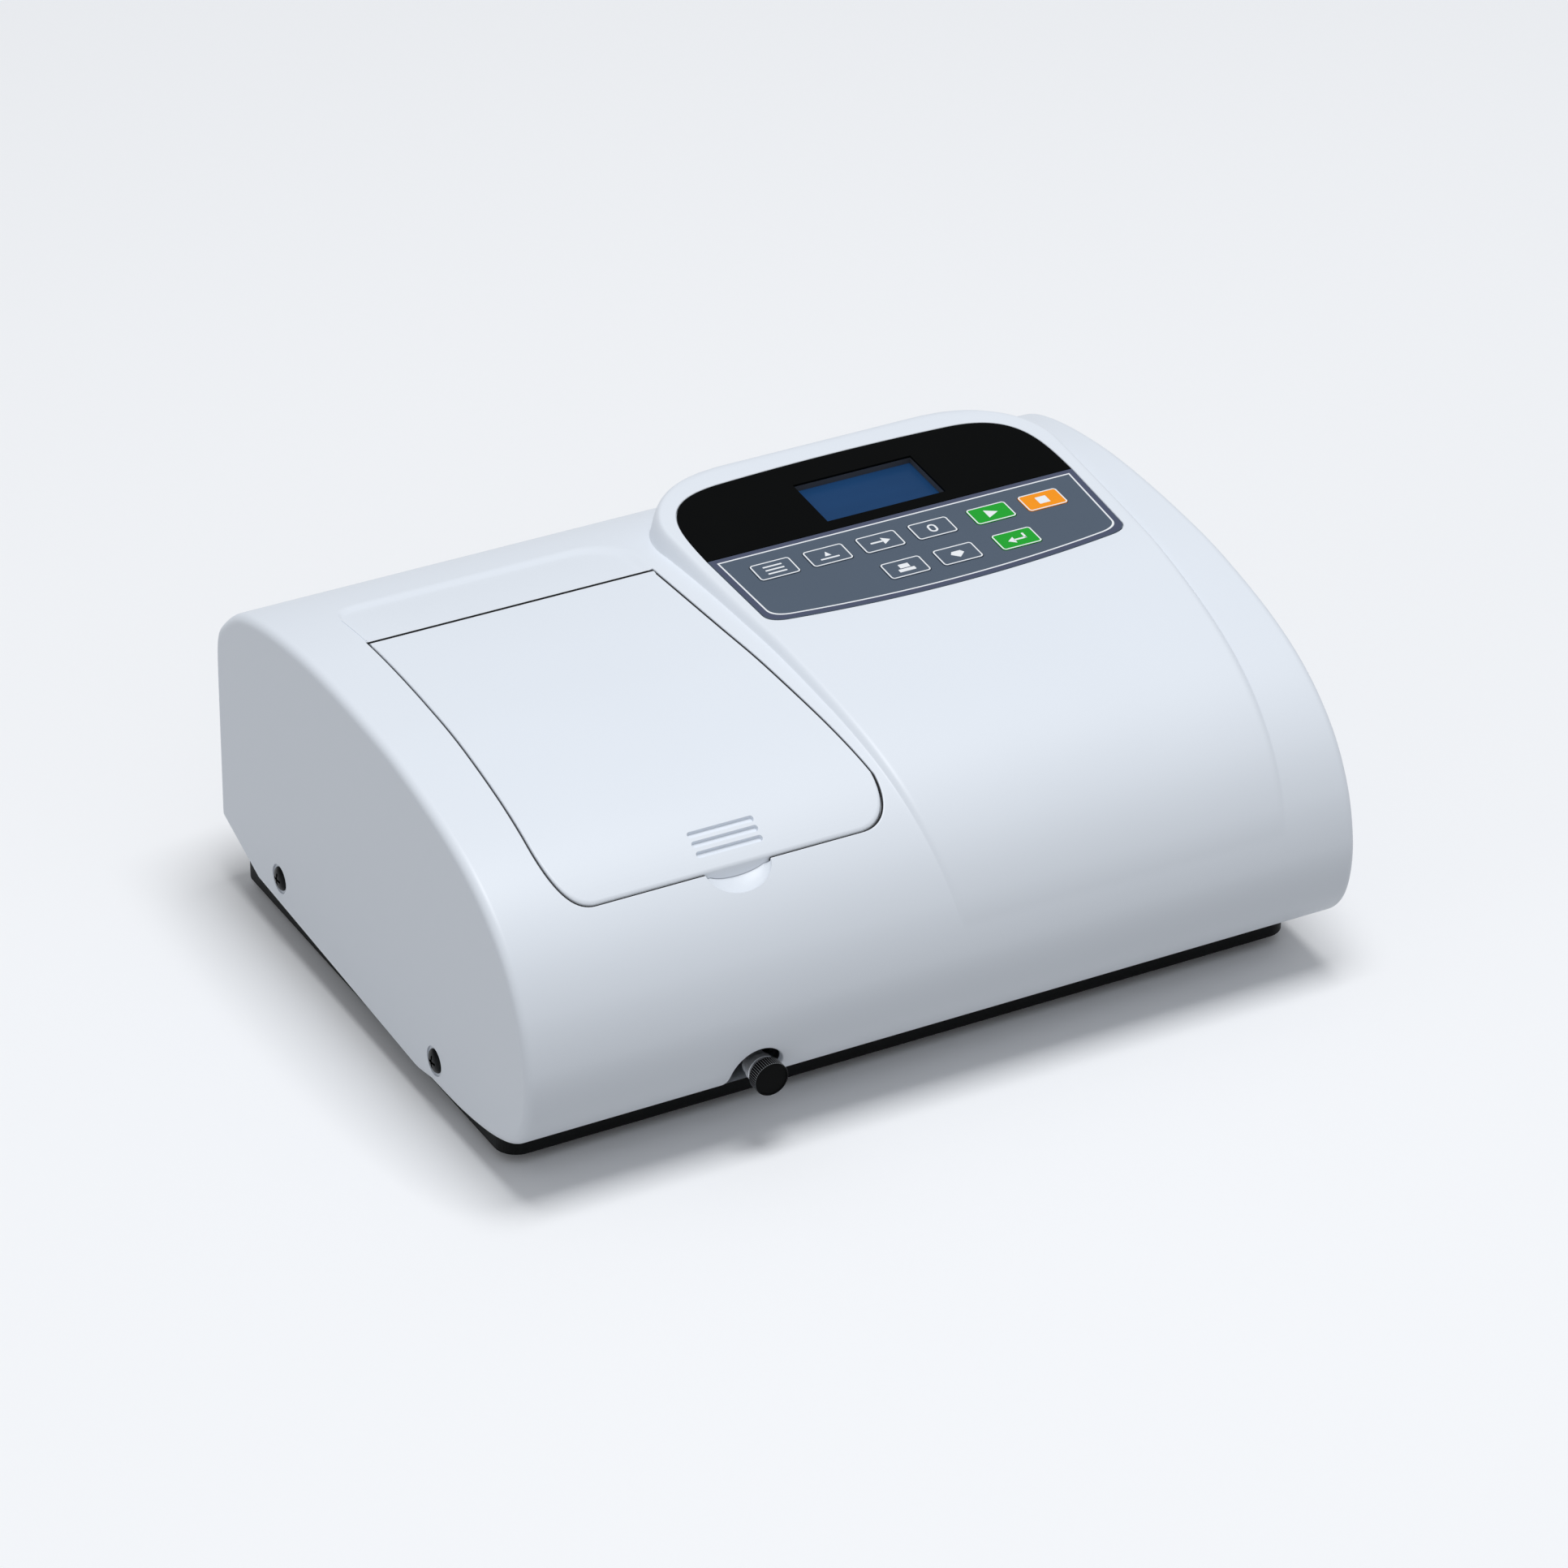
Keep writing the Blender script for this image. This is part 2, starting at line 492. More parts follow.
def turned(profile, sides=48):
    """A body of revolution about Z: each (radius, height) becomes a ring, and the first and the last ring are
    closed by a flat disc."""
    angle = np.arange(sides) * 2 * math.pi / sides
    profile = np.asarray(profile, float)
    rings = np.stack([profile[:, :1] * np.cos(angle), profile[:, :1] * np.sin(angle),
                      np.broadcast_to(profile[:, 1:], (len(profile), sides))], -1)
    return loft(rings)


def dome(radius, height, last, count):
    """Profile of a low dome, a quarter of an ellipse from near its top down to an angle in degrees."""
    angle = np.radians(np.linspace(4, last, count))
    return list(zip(radius * np.sin(angle), height * np.cos(angle)))


def bar(axis, radius, start, end, a, b, sides=48):
    """A round bar along an axis between two places, with its centre in the two other directions."""
    points, faces = turned([(radius, start), (radius, end)], sides)
    order = {"x": (2, 0, 1), "y": (0, 2, 1), "z": (0, 1, 2)}[axis]
    middle = {"x": (0, a, b), "y": (a, 0, b), "z": (a, b, 0)}[axis]
    return points[:, order] + middle, [face[::-1] for face in faces] if axis == "y" else faces


def block(x0, x1, y0, y1, z0, z1):
    """A rectangular body between two corners."""
    outline = np.array([(x0, y0), (x1, y0), (x1, y1), (x0, y1)], float)
    return loft([at_height(outline, z) for z in (z0, z1)])


def frame_block(form, low, high):
    """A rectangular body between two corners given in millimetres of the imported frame."""
    return block(*np.stack([low - form.offset, high - form.offset], 1).ravel())


def upright(outline, low, high):
    """An outline seen from above, carried from one height to another."""
    return loft([at_height(outline, z) for z in (low, high)])


def sideways(outline, x0, x1):
    """An outline in Y and Z carried along X."""
    return loft([np.hstack([np.full((len(outline), 1), x), outline]) for x in (x0, x1)])


def span(side, a, b):
    """Two distances from the middle as places on one side, the lower first."""
    return sorted((side * a, side * b))


# Blender objects.
def to_object(name, points, faces):
    """A mesh object at the origin with its place in its mesh, in the frame's metres."""
    mesh = bpy.data.meshes.new(name)
    mesh.from_pydata(points.tolist(), [], faces)
    mesh.update()
    made = bpy.data.objects.new(name, mesh)
    bpy.context.scene.collection.objects.link(made)
    return made


def solid(form, name, body):
    """A mesh object out of a body's points, in cover millimetres, and its faces."""
    points, faces = body
    return to_object(name, form.to_frame(points), faces)


def merge(parts):
    """Points and faces of several bodies as one list."""
    points, faces, first = [], [], 0
    for part_points, part_faces in parts:
        points.append(part_points)
        faces += [[i + first for i in face] for face in part_faces]
        first += len(part_points)
    return np.concatenate(points), faces


def combine(target, form, part, operation="DIFFERENCE"):
    """Joins a body to an object, cuts it away or keeps what they share, and keeps only the result."""
    cutter = part if isinstance(part, bpy.types.Object) else solid(form, "cutter", part)
    modifier = target.modifiers.new("combine", "BOOLEAN")
    modifier.operation, modifier.solver, modifier.object = operation, "MANIFOLD", cutter
    graph = bpy.context.evaluated_depsgraph_get()
    mesh = bpy.data.meshes.new_from_object(target.evaluated_get(graph))
    if not mesh.polygons:
        raise RuntimeError(f"{target.name}: nothing is left after a {operation.lower()}")
    old, target.data = target.data, mesh
    target.modifiers.remove(modifier)
    bpy.data.meshes.remove(old)
    old = cutter.data
    bpy.data.objects.remove(cutter)
    bpy.data.meshes.remove(old)
    return target


def shade(made, degrees=32.0):
    """Smooth shading with an edge kept sharp where its two faces turn by more than an angle."""
    mesh = made.data
    count = len(mesh.polygons)
    normals, totals = np.empty(count * 3), np.empty(count, int)
    mesh.polygons.foreach_get("normal", normals)
    mesh.polygons.foreach_get("loop_total", totals)
    edge = np.empty(len(mesh.loops), int)
    mesh.loops.foreach_get("edge_index", edge)
    face = np.repeat(np.arange(count), totals)
    order = np.argsort(edge, kind="stable")
    edge, face = edge[order], face[order]
    first = np.searchsorted(edge, np.arange(len(mesh.edges)))
    second = np.minimum(first + 1, len(edge) - 1)
    normals = normals.reshape(-1, 3)
    turn = (normals[face[first]] * normals[face[second]]).sum(1)
    alone = edge[second] != edge[first]
    mesh.polygons.foreach_set("use_smooth", np.ones(count, bool))
    mesh.polygons.foreach_set("material_index", np.zeros(count, int))
    mesh.edges.foreach_set("use_edge_sharp", alone | (turn < math.cos(math.radians(degrees))))
    mesh.update()


def finish_piece(made, body, look, replaces=()):
    """Gives a piece its shading, material, slot, body and the nodes that it stands for. Large faces rule the
    normals at their corners, so that flats stay flat beside small roundings."""
    made.data.materials.clear()
    made.data.materials.append(look)
    shade(made)
    weighted = made.modifiers.new("weighted_normals", "WEIGHTED_NORMAL")
    weighted.keep_sharp = True
    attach(made, body)
    if replaces:
        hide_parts(*replaces)
    return made


def piece(form, name, parts, body, look, replaces=(), in_panel=False):
    """A finished piece out of one or more bodies."""
    points, faces = merge(parts)
    if in_panel:
        points = form.in_panel(points)
    return finish_piece(solid(form, name, (points, faces)), body, look, replaces)


# Materials.
def add(tree, kind, inputs=None, **settings):
    """Adds a node with its settings, and fills or links its inputs."""
    made = tree.nodes.new(kind)
    for key, value in settings.items():
        setattr(made, key, value)
    for key, value in (inputs or {}).items():
        if isinstance(value, bpy.types.NodeSocket):
            tree.links.new(value, made.inputs[key])
        else:
            made.inputs[key].default_value = value
    return made


def new_material(name, values):
    """A material with its shader and output and the constants on the shader's own sockets. Gives its tree,
    its shader and the Object coordinates that its patterns read."""
    made = bpy.data.materials.new(name)
    made.use_nodes = True
    tree = made.node_tree
    tree.nodes.clear()
    shader = add(tree, "ShaderNodeBsdfPrincipled", values)
    add(tree, "ShaderNodeOutputMaterial", {"Surface": shader.outputs[0]})
    return made, tree, shader, add(tree, "ShaderNodeTexCoord").outputs["Object"]


# Sockets of a Mix node that are in use when it mixes colours.
MIX_A, MIX_B, MIX_COLOUR = 6, 7, 2


def rgba(value):
    """A colour with full opacity."""
    return tuple(value)[:3] + (1.0,)


def toned(value, by):
    """A colour a little lighter or darker."""
    return rgba(min(1.0, max(0.0, part * by)) for part in value)


def drifting(tree, place, colour_value, spread, mottle):
    """A colour that drifts by a spread to both sides over patches of a size in millimetres. Gives the noise
    that drives it and the colour."""
    slow = add(tree, "ShaderNodeTexNoise", {"Vector": place, "Scale": 1000 / mottle, "Detail": 3.0})
    drift = add(tree, "ShaderNodeMix", {0: slow.outputs["Fac"], MIX_A: toned(colour_value, 1 - spread),
                                        MIX_B: toned(colour_value, 1 + spread)}, data_type="RGBA")
    return slow.outputs["Fac"], drift.outputs[MIX_COLOUR]


def grained(name, colour_value, roughness, grain, bump, spread, mottle, rough_spread=0.05, **values):
    """A surface with a fine grain in its bump, a slow drift of colour and a slow drift of roughness. Grain
    and mottle are in millimetres, the distance from one patch to the next."""
    made, tree, shader, place = new_material(name, values)
    slow, tone = drifting(tree, place, colour_value, spread, mottle)
    tree.links.new(tone, shader.inputs["Base Color"])
    level = add(tree, "ShaderNodeMapRange", {"Value": slow, "To Min": roughness - rough_spread,
                                             "To Max": roughness + rough_spread})
    tree.links.new(level.outputs["Result"], shader.inputs["Roughness"])
    fine = add(tree, "ShaderNodeTexNoise", {"Vector": place, "Scale": 1000 / grain, "Detail": 2.0})
    relief = add(tree, "ShaderNodeBump", {"Height": fine.outputs["Fac"], "Strength": bump,
                                          "Distance": grain * MM * 0.2})
    tree.links.new(relief.outputs["Normal"], shader.inputs["Normal"])
    return made


def worn_crests(name, colour_value, worn, axis_point, radius, **values):
    """A ribbed knob: its colour turns to the worn one between 0.22 and 0.03 mm short of the outermost radius,
    measured from the knob's own axis along Y, with a fine drift of tone."""
    made, tree, shader, place = new_material(name, values)
    flat = add(tree, "ShaderNodeVectorMath", {0: place, 1: (1.0, 0.0, 1.0)}, operation="MULTIPLY")
    axis = (axis_point[0], 0.0, axis_point[1])
    reach = add(tree, "ShaderNodeVectorMath", {0: flat.outputs[0], 1: axis}, operation="DISTANCE")
    crest = add(tree, "ShaderNodeMapRange", {"Value": reach.outputs["Value"], "From Min": radius - 0.22 * MM,
                                             "From Max": radius - 0.03 * MM})
    tone = drifting(tree, place, colour_value, 0.15, 3.0)[1]
    worn_tone = add(tree, "ShaderNodeMix", {0: crest.outputs["Result"], MIX_A: tone, MIX_B: rgba(worn)},
                    data_type="RGBA")
    tree.links.new(worn_tone.outputs[MIX_COLOUR], shader.inputs["Base Color"])
    return made


def streaked(name, colour_value, roughness, axis, pitch):
    """Metal with lines from grinding or turning: noise stretched fiftyfold along one axis drives the
    roughness and a faint bump."""
    made, tree, shader, place = new_material(name, {"Metallic": 1.0, "Base Color": rgba(colour_value)})
    scale = [1000 / pitch] * 3
    scale["xyz".index(axis)] /= 50
    mapped = add(tree, "ShaderNodeMapping", {"Vector": place, "Scale": scale})
    lines = add(tree, "ShaderNodeTexNoise", {"Vector": mapped.outputs["Vector"], "Scale": 1.0, "Detail": 4.0})
    level = add(tree, "ShaderNodeMapRange", {"Value": lines.outputs["Fac"], "To Min": roughness - 0.1,
                                             "To Max": roughness + 0.1})
    tree.links.new(level.outputs["Result"], shader.inputs["Roughness"])
    relief = add(tree, "ShaderNodeBump", {"Height": lines.outputs["Fac"], "Strength": 0.15,
                                          "Distance": pitch * MM * 0.2})
    tree.links.new(relief.outputs["Normal"], shader.inputs["Normal"])
    return made


def display_glass(name, colour_value):
    """A liquid crystal cell behind glass: a grid of dots 0.9 mm apart, a little lighter than the ground, and
    a smooth clear coat. The real dots are finer, and this is as fine as shows."""
    made, tree, shader, place = new_material(name, {
        "Roughness": 0.3, "Coat Weight": 0.02, "Coat Roughness": 0.05, "IOR": 1.52,
        "Specular IOR Level": 0.05})
    cells = add(tree, "ShaderNodeTexVoronoi", {"Vector": place, "Scale": 1000 / 0.9, "Randomness": 0.0})
    tone = add(tree, "ShaderNodeMapRange", {"Value": cells.outputs["Distance"], "From Min": 0.2,
                                            "From Max": 0.5, "To Min": 0.0, "To Max": 0.25})
    slow = add(tree, "ShaderNodeTexNoise", {"Vector": place, "Scale": 1000 / 40, "Detail": 1.0})
    total = add(tree, "ShaderNodeMath", {0: tone.outputs["Result"], 1: slow.outputs["Fac"]}, operation="ADD")
    tones = add(tree, "ShaderNodeMix", {0: total.outputs[0], MIX_A: toned(colour_value, 0.92),
                                        MIX_B: toned(colour_value, 1.16)}, data_type="RGBA")
    tree.links.new(tones.outputs[MIX_COLOUR], shader.inputs["Base Color"])
    return made


def circuit_laminate(name):
    """Green solder mask over glass laminate: soft traces show as lighter lines under a glossy film."""
    made, tree, shader, place = new_material(name, {"Roughness": 0.35, "IOR": 1.55, "Coat Weight": 0.3})
    bricks = add(tree, "ShaderNodeTexBrick", {
        "Vector": place, "Scale": 1000 / 4, "Color1": rgba(linear("1B6236")),
        "Color2": rgba(linear("1F6B3A")), "Mortar": rgba(linear("2F8450")), "Mortar Size": 0.03})
    tree.links.new(bricks.outputs["Color"], shader.inputs["Base Color"])
    return made


def fused_quartz(name):
    """Clear fused quartz: full transmission with faint streaks in its surface."""
    made, tree, shader, place = new_material(name, {"Transmission Weight": 1.0, "IOR": 1.46,
                                                    "Base Color": rgba(linear("EEF4F7"))})
    slow = add(tree, "ShaderNodeTexNoise", {"Vector": place, "Scale": 1000 / 25})
    level = add(tree, "ShaderNodeMapRange", {"Value": slow.outputs["Fac"], "To Min": 0.02, "To Max": 0.06})
    tree.links.new(level.outputs["Result"], shader.inputs["Roughness"])
    return made


def make_materials(scene):
    """All materials by name. Each comment says what the real material gives the eye."""
    cover, console, base = scene.spectro_cover, scene.spectro_console, scene.spectro_base
    made = {
        # Moulded ABS with a fine spark-eroded grain: soft broad highlights, a cool white that hardly varies.
        "abs": grained("moulded_white_abs", cover.colour, 0.42, 0.9, 0.05, 0.008, 90, 0.03, IOR=1.53),
        # Cast acrylic printed black from behind: a deep gloss with faint smudges from hands.
        "acrylic": grained("black_acrylic", console.bezel, 0.14, 6.0, 0.01, 0.15, 35, 0.04,
                           **{"IOR": 1.49, "Specular IOR Level": 0.02}),
        # Screen-printed ink: opaque, slightly raised, with a soft sheen.
        "ink": grained("screen_printed_ink", console.ink, 0.45, 0.4, 0.1, 0.02, 8, IOR=1.5),
        # Dark moulded frame round the display cell.
        "frame": grained("moulded_grey_frame", linear("4A4C50"), 0.5, 0.6, 0.1, 0.06, 20, IOR=1.53),
        "display": display_glass("liquid_crystal_display", console.display),
        # Polyester powder coat on steel sheet: satin black with a shallow orange peel.
        "powder": grained("black_powder_coat", base.paint, 0.5, 1.4, 0.2, 0.12, 40,
                          **{"IOR": 1.5, "Specular IOR Level": 0.12}),
        # Flat black optical paint inside the light path: hardly any highlight.
        "flat": grained("flat_black_optical_paint", linear("222426"), 0.7, 0.7, 0.25, 0.1, 25, IOR=1.5),
        # Black anodised aluminium of the cell carriage: dark grey with a low, broad sheen.
        "anodised": grained("black_anodised_aluminium", linear("3E4145"), 0.4, 0.6, 0.12, 0.08, 18,
                            Metallic=0.6),
        # Moulded nylon of knobs, sockets and fan.
        "nylon": grained("black_moulded_nylon", base.plastic, 0.42, 0.8, 0.1, 0.1, 15,
                         **{"IOR": 1.53, "Specular IOR Level": 0.3}),
        # The same nylon on the ribbed knob, polished pale along the crests by fingers.
        "ribbed": worn_crests("ribbed_moulded_nylon", base.plastic, linear("85878A"),
                              (ROD_X * MM, (ROD_Z + COVER_LOW[2]) * MM), base.knob_radius,
                              **{"Roughness": 0.5, "IOR": 1.53, "Specular IOR Level": 0.04}),
        # Moulded rubber: dull, with a dusty drift of tone.
        "rubber": grained("moulded_rubber", linear("1A1A1B"), 0.82, 1.1, 0.3, 0.15, 12, 0.06, IOR=1.52),
        # Black oxide on steel screws: dark metal with a low sheen.
        "oxide": grained("black_oxide_steel", linear("1B1C1D"), 0.38, 0.7, 0.12, 0.12, 9, Metallic=1.0),
        # Cast aluminium, machined where it seats: pale grey with a rough, slightly uneven face.
        "cast": grained("machined_cast_aluminium", linear("B4B7BA"), 0.42, 1.2, 0.2, 0.05, 25, Metallic=1.0),
        # Ground and turned steel: bright, with fine lines along the grinding or round the turning.
        "ground": streaked("ground_steel", linear("C2C5C9"), 0.3, "y", 0.5),
        "turned": streaked("turned_steel", linear("B9BDC2"), 0.3, "x", 0.4),
        # Satin plated brass collar: broad soft reflections, brighter than the dark notch round it.
        "chrome": grained("satin_plated_brass", linear("F2F4F8"), 0.6, 3.0, 0.02, 0.03, 10, 0.05,
                          Metallic=0.8),
        # Aluminium coated on glass under a hard coat.
        "mirror": grained("coated_optical_mirror", linear("DCE0E4"), 0.04, 8.0, 0.01, 0.01, 20, 0.02,
                          Metallic=1.0),
        "board": circuit_laminate("green_circuit_laminate"),
        "quartz": fused_quartz("fused_quartz"),
    }
    # Polyester film printed from behind, with a fine matt emboss on its face. The coloured keys are smoother
    # and the band at the edge catches more light. Each row has the film's name, colour, roughness, bump,
    # spread and mottle, and its specular level.
    films = {
        "film": ("printed_polyester_film", console.field, 0.45, 0.12, 0.04, 45, 0.12),
        "band": ("printed_polyester_band", console.band, 0.42, 0.12, 0.05, 30, 0.25),
        "green": ("green_key_film", console.green, 0.42, 0.1, 0.05, 12, 0.2),
        "orange": ("orange_key_film", console.orange, 0.42, 0.1, 0.04, 12, 0.2),
    }
    for key, (name, tint, roughness, bump, spread, mottle, specular) in films.items():
        made[key] = grained(name, tint, roughness, 0.5, bump, spread, mottle,
                            **{"IOR": 1.57, "Specular IOR Level": specular})
    return made


MATERIALS = {}


def material(name):
    """A material by its name. The first call makes them all, from the scene's settings."""
    if not MATERIALS:
        MATERIALS.update(make_materials(bpy.context.scene))
    return MATERIALS[name]


# The cover.
def lid_outline(grow, count=40):
    """The lid seen from above: square rear corners, a right edge bowed along the console and wide front
    corners, grown outwards by a distance."""
    left, rear, front = LID["left"] - grow, LID["rear"] + grow, LID["front"] - grow
    right_rear, right_front = LID["right_rear"] + grow, LID["right_front"] + grow
    low, corner = front + LID["corner_depth"], LID["corner"]
    knee = (right_front, front + LID["corner_depth"] * LID["knee_share"])
    half = count // 2
    return path(
        ([(left, rear), (left, low)], count),
        ([(left, low), (left + GAP, front), (left + corner, front)], half),
        ([(left + corner, front), (right_front - corner, front)], half),
        ([(right_front - corner, front), (right_front, front), knee], half),
        ([knee, (LID["bend"] + grow, LID["bend_rear"]), (right_rear, rear)], count),
        ([(right_rear, rear), (left, rear)], half))


def recess_outline(grow, count=16):
    """The shallow field behind the lid, with a wide corner at the right rear and a smaller one at the left.
    Its front runs out under the lid, and its crisp left side grows only a little."""
    x0, x1 = LID["left"] + RECESS_OVERLAP - grow * RECESS_LEFT_GROWTH, RECESS_RIGHT + grow
    y0, y1 = LID["rear"] - RECESS_OVERLAP, LID["rear"] + RECESS_LENGTH + grow
    radius, turn = RECESS_CORNER, RECESS_TURN
    return np.concatenate([
        path(([(x0, y1 - turn), (x0, y0)], count), ([(x0, y0), (x1, y0)], count),
             ([(x1, y0), (x1, y1 - radius)], count)),
        arc((x1 - radius, y1 - radius), radius, 0, 90, count),
        path(([(x1 - radius, y1), (x0 + turn, y1)], count),
             ([(x0 + turn, y1), (x0, y1), (x0, y1 - turn)], count))])


def recess_cutter(form):
    """A body over the recess whose floor lies a depth under the skin and whose rear and right walls climb to
    the skin in a soft S: the depth times half a cosine over the slope's width."""
    rings = []
    for share in np.linspace(0, 1, RECESS_RINGS):
        depth = RECESS_DEPTH * (1 + math.cos(math.pi * share)) / 2
        rings.append(form.on_skin(recess_outline(RECESS_SLOPE * (share - 0.5)), -depth))
    rings.append(form.on_skin(recess_outline(RECESS_SLOPE * 0.5), RECESS_CLEAR))
    floor = rings[0]
    middle = floor.mean(0)
    inner = [form.on_skin((middle + (floor - middle) * share)[:, :2], -RECESS_DEPTH)
             for share in RECESS_FLOOR]
    return loft([*inner, *rings])


def chamber_outline(grow):
    """The opening over the sample chamber, grown by a distance."""
    c = CHAMBER
    return rounded(c["left"] - grow, c["right"] + grow, c["front"] - grow, c["rear"] + grow,
                   c["corner"] + grow)


def under(form, below, x0, x1, detail=None):
    """All that lies deeper than a depth under the skin, open downwards, between two places along X."""
    count = (len(PROFILE_SHARES) - 1) * (detail or form.detail)
    front = form.table <= form.crest
    lip = np.interp(COVER_LIP, form.table_z[front], form.table[front])
    places = np.linspace(0, 1, count + 1)
    places = np.concatenate([[lip], places[places > lip + 0.5 / count]])
    points = form.skin(places, below)
    ends = [(form.depth - below, LOW_END), (points[0, 0], LOW_END)]
    return sideways(np.concatenate([points, ends]), x0, x1)


def seam_cutter(form, outline, clearance, rounding, direction=1):
    """A body over an outline seen from above whose side leaves the skin through a small rounding."""
    rings = [at_height(outline(clearance), SEAM_START)]
    for a in np.radians([0, 30, 60, 90]):
        flat = outline(clearance + direction * rounding * (1 - math.cos(a)))
        rings.append(form.on_skin(flat, rounding * (math.sin(a) - 1)))
    rings.append(at_height(outline(clearance + direction * rounding), 2 * form.height))
    return loft(rings)


def cover_skin(form, inset=0.0):
    """The outside of the cover as a grid, or the same drawn in by an inset for its hollow. A ring is the
    profile in Y and Z at a column across the width, raised by the console's height square to the skin. The
    columns crowd at the console's walls and curl in with its rear corners; near each side of the cover they
    sink through a quarter round."""
    fine = inset == 0
    grid = GRID if fine else HOLLOW_GRID
    count = (len(PROFILE_SHARES) - 1) * (form.detail if fine else grid["detail"])
    station = form.s_of_t(np.linspace(0, 1, count + 1))
    radius, end = form.corner - inset, form.s_rear - inset
    bend = end - radius + radius * np.sin(np.linspace(0, math.pi / 2, grid["corner"]))
    step = form.table_s[-1] / count
    station = station[(station < bend[0] - step / 2) | (station > end + step / 2)]
    station = np.sort(np.concatenate([station, bend, end + np.array(grid["behind"])]))
    place = form.t_of_s(station)
    left, right = form.console_sides(station)
    back = np.clip((station - (end - radius)) / radius, 0, 1)
    side = np.sqrt(1 - back * back)
    curl = radius * (1 - side)
    wall = form.side_wall * side ** 2 + form.rear_wall * back ** 2
    widen = np.minimum(wall / form.side_wall / np.maximum(side, 0.1), WIDEST)
    near = [form.side_wall * widen * share for share in grid["wall"]]
    x0, x1 = left + inset + curl, right - inset - curl
    low, start = (SKIRT_LOW, form.depth * SKIRT_START_SHARE) if fine else (LOW_END, None)

    def ring(x, sink=0.0):
        x = np.broadcast_to(x, station.shape)
        points, along = form.at(place)
        lift = form.lift(station, x, inset) - inset - sink
        points = points + np.stack([-along[:, 1], along[:, 0]], 1) * lift[:, None]
        front = points[0, 0] if start is None else start
        ends = np.array([(form.depth - inset - sink, low), (front, low)])
        return np.column_stack([np.concatenate([x, [x[-1], x[0]]]), np.concatenate([points, ends])])

    def between(a, b, pieces):
        return [ring(a + (b - a) * share) for share in np.linspace(0, 1, pieces + 1)[1:-1]]
    console = [ring(x0 + step) for step in near]
    console += between(x0 + near[-1], x1 - near[-1], grid["top"])
    console += [ring(x1 - step) for step in near[::-1]]
    if not fine:
        outer = form.half - inset
        return loft([ring(-outer), ring(-outer / 2), *console, ring(outer)])
    flat = form.half - form.edge
    sides = [(flat + form.edge * math.sin(a), form.edge * (1 - math.cos(a)))
             for a in np.radians(np.linspace(0, 90, grid["edge"]))]
    sides.append((form.half, form.edge + SIDE_SINK))
    return loft([*(ring(-x, sink) for x, sink in sides[::-1]),
                 *between(-flat, x0 + near[0], grid["left_flat"]), *console,
                 *between(x1 - near[0], flat, grid["right_flat"]), *(ring(x, sink) for x, sink in sides)])


def window_outline(grow):
    """The display's window, a rectangle with points along its four sides, grown by a distance."""
    u0, u1, v0, v1 = WINDOW
    corners = [(u0 - grow, v0 - grow), (u1 + grow, v0 - grow), (u1 + grow, v1 + grow), (u0 - grow, v1 + grow)]
    return path(*((side, 6) for side in zip(corners, corners[1:] + corners[:1])))


def bezel_side(grow, start, count=36):
    """Rear half of the panel's outline: sides that swing into a wide rear arc."""
    side, depth, shares = PANEL["half"] + grow, PANEL["bezel"] + grow, BEZEL_SHARES
    flat, rear = PANEL["half"] * shares["flat"], depth - POCKET
    corner, shoulder = depth * shares["corner"], depth * shares["shoulder"]
    return path(([(side, start), (side, shoulder), (side, corner), (flat, rear)], count),
                ([(flat, rear), (0, depth * shares["rear"]), (-flat, rear)], count),
                ([(-flat, rear), (-side, corner), (-side, shoulder), (-side, start)], count))


def keypad_side(grow, start, count=24):
    """Front half of the panel's outline: straight tapering sides, rounded corners and a bowed front."""
    side, depth, shares = PANEL["half"] + grow, PANEL["keypad"] + grow, KEYPAD_SHARES
    foot = side * shares["foot"]
    flat = foot - PANEL["inset"]
    heel, knee, end, front = (-depth * shares[name] for name in ("heel", "knee", "end", "front"))
    return path(([(-side, start), (-foot, heel)], count),
                ([(-foot, heel), (-foot, knee), (-flat, end)], count // 2),
                ([(-flat, end), (0, front), (flat, end)], count * 2),
                ([(flat, end), (foot, knee), (foot, heel)], count // 2),
                ([(foot, heel), (side, start)], count))


def bezel_outline(grow):
    """The rear half closed along the divider, half a gap behind it."""
    start, side = GAP / 2 - min(grow, 0), PANEL["half"] + grow
    return np.concatenate([bezel_side(grow, start), bezier([(-side, start), (side, start)], 24)])


def keypad_outline(grow):
    """The front half closed along the divider, half a gap before it."""
    start, side = -GAP / 2 + min(grow, 0), PANEL["half"] + grow
    return np.concatenate([keypad_side(grow, start), bezier([(side, start), (-side, start)], 24)])


def pocket_outline(grow):
    """Both halves of the panel's outline together."""
    return np.concatenate([bezel_side(grow, 0.0), keypad_side(grow, 0.0)])


def key_outline(grow):
    """A key seen square to the panel, grown by a distance."""
    console = bpy.context.scene.spectro_console
    x, y = console.key_width / MM / 2 + grow, console.key_depth / MM / 2 + grow
    return rounded(-x, x, -y, y, max(KEY_LEAST_CORNER, console.key_radius / MM + grow), 6)


def key_places():
    """Middles of the nine keys in the panel plane: six in the rear row and three in the front row."""
    left, right = KEY_BLOCKS
    front_row = KEY_ROW - KEY_ROW_PITCH
    rear = [(left + i * KEY_PITCH, KEY_ROW) for i in range(4)]
    rear += [(right + i * KEY_PITCH, KEY_ROW) for i in range(2)]
    return rear + [(left + i * KEY_PITCH, front_row) for i in (2, 3)] + [(right, front_row)]


def panel_body(form, outline, levels, place=(0.0, 0.0)):
    """A body built up at a place in the panel plane, in cover millimetres."""
    points, faces = layered(outline, levels)
    return form.in_panel(points + (*place, 0.0)), faces


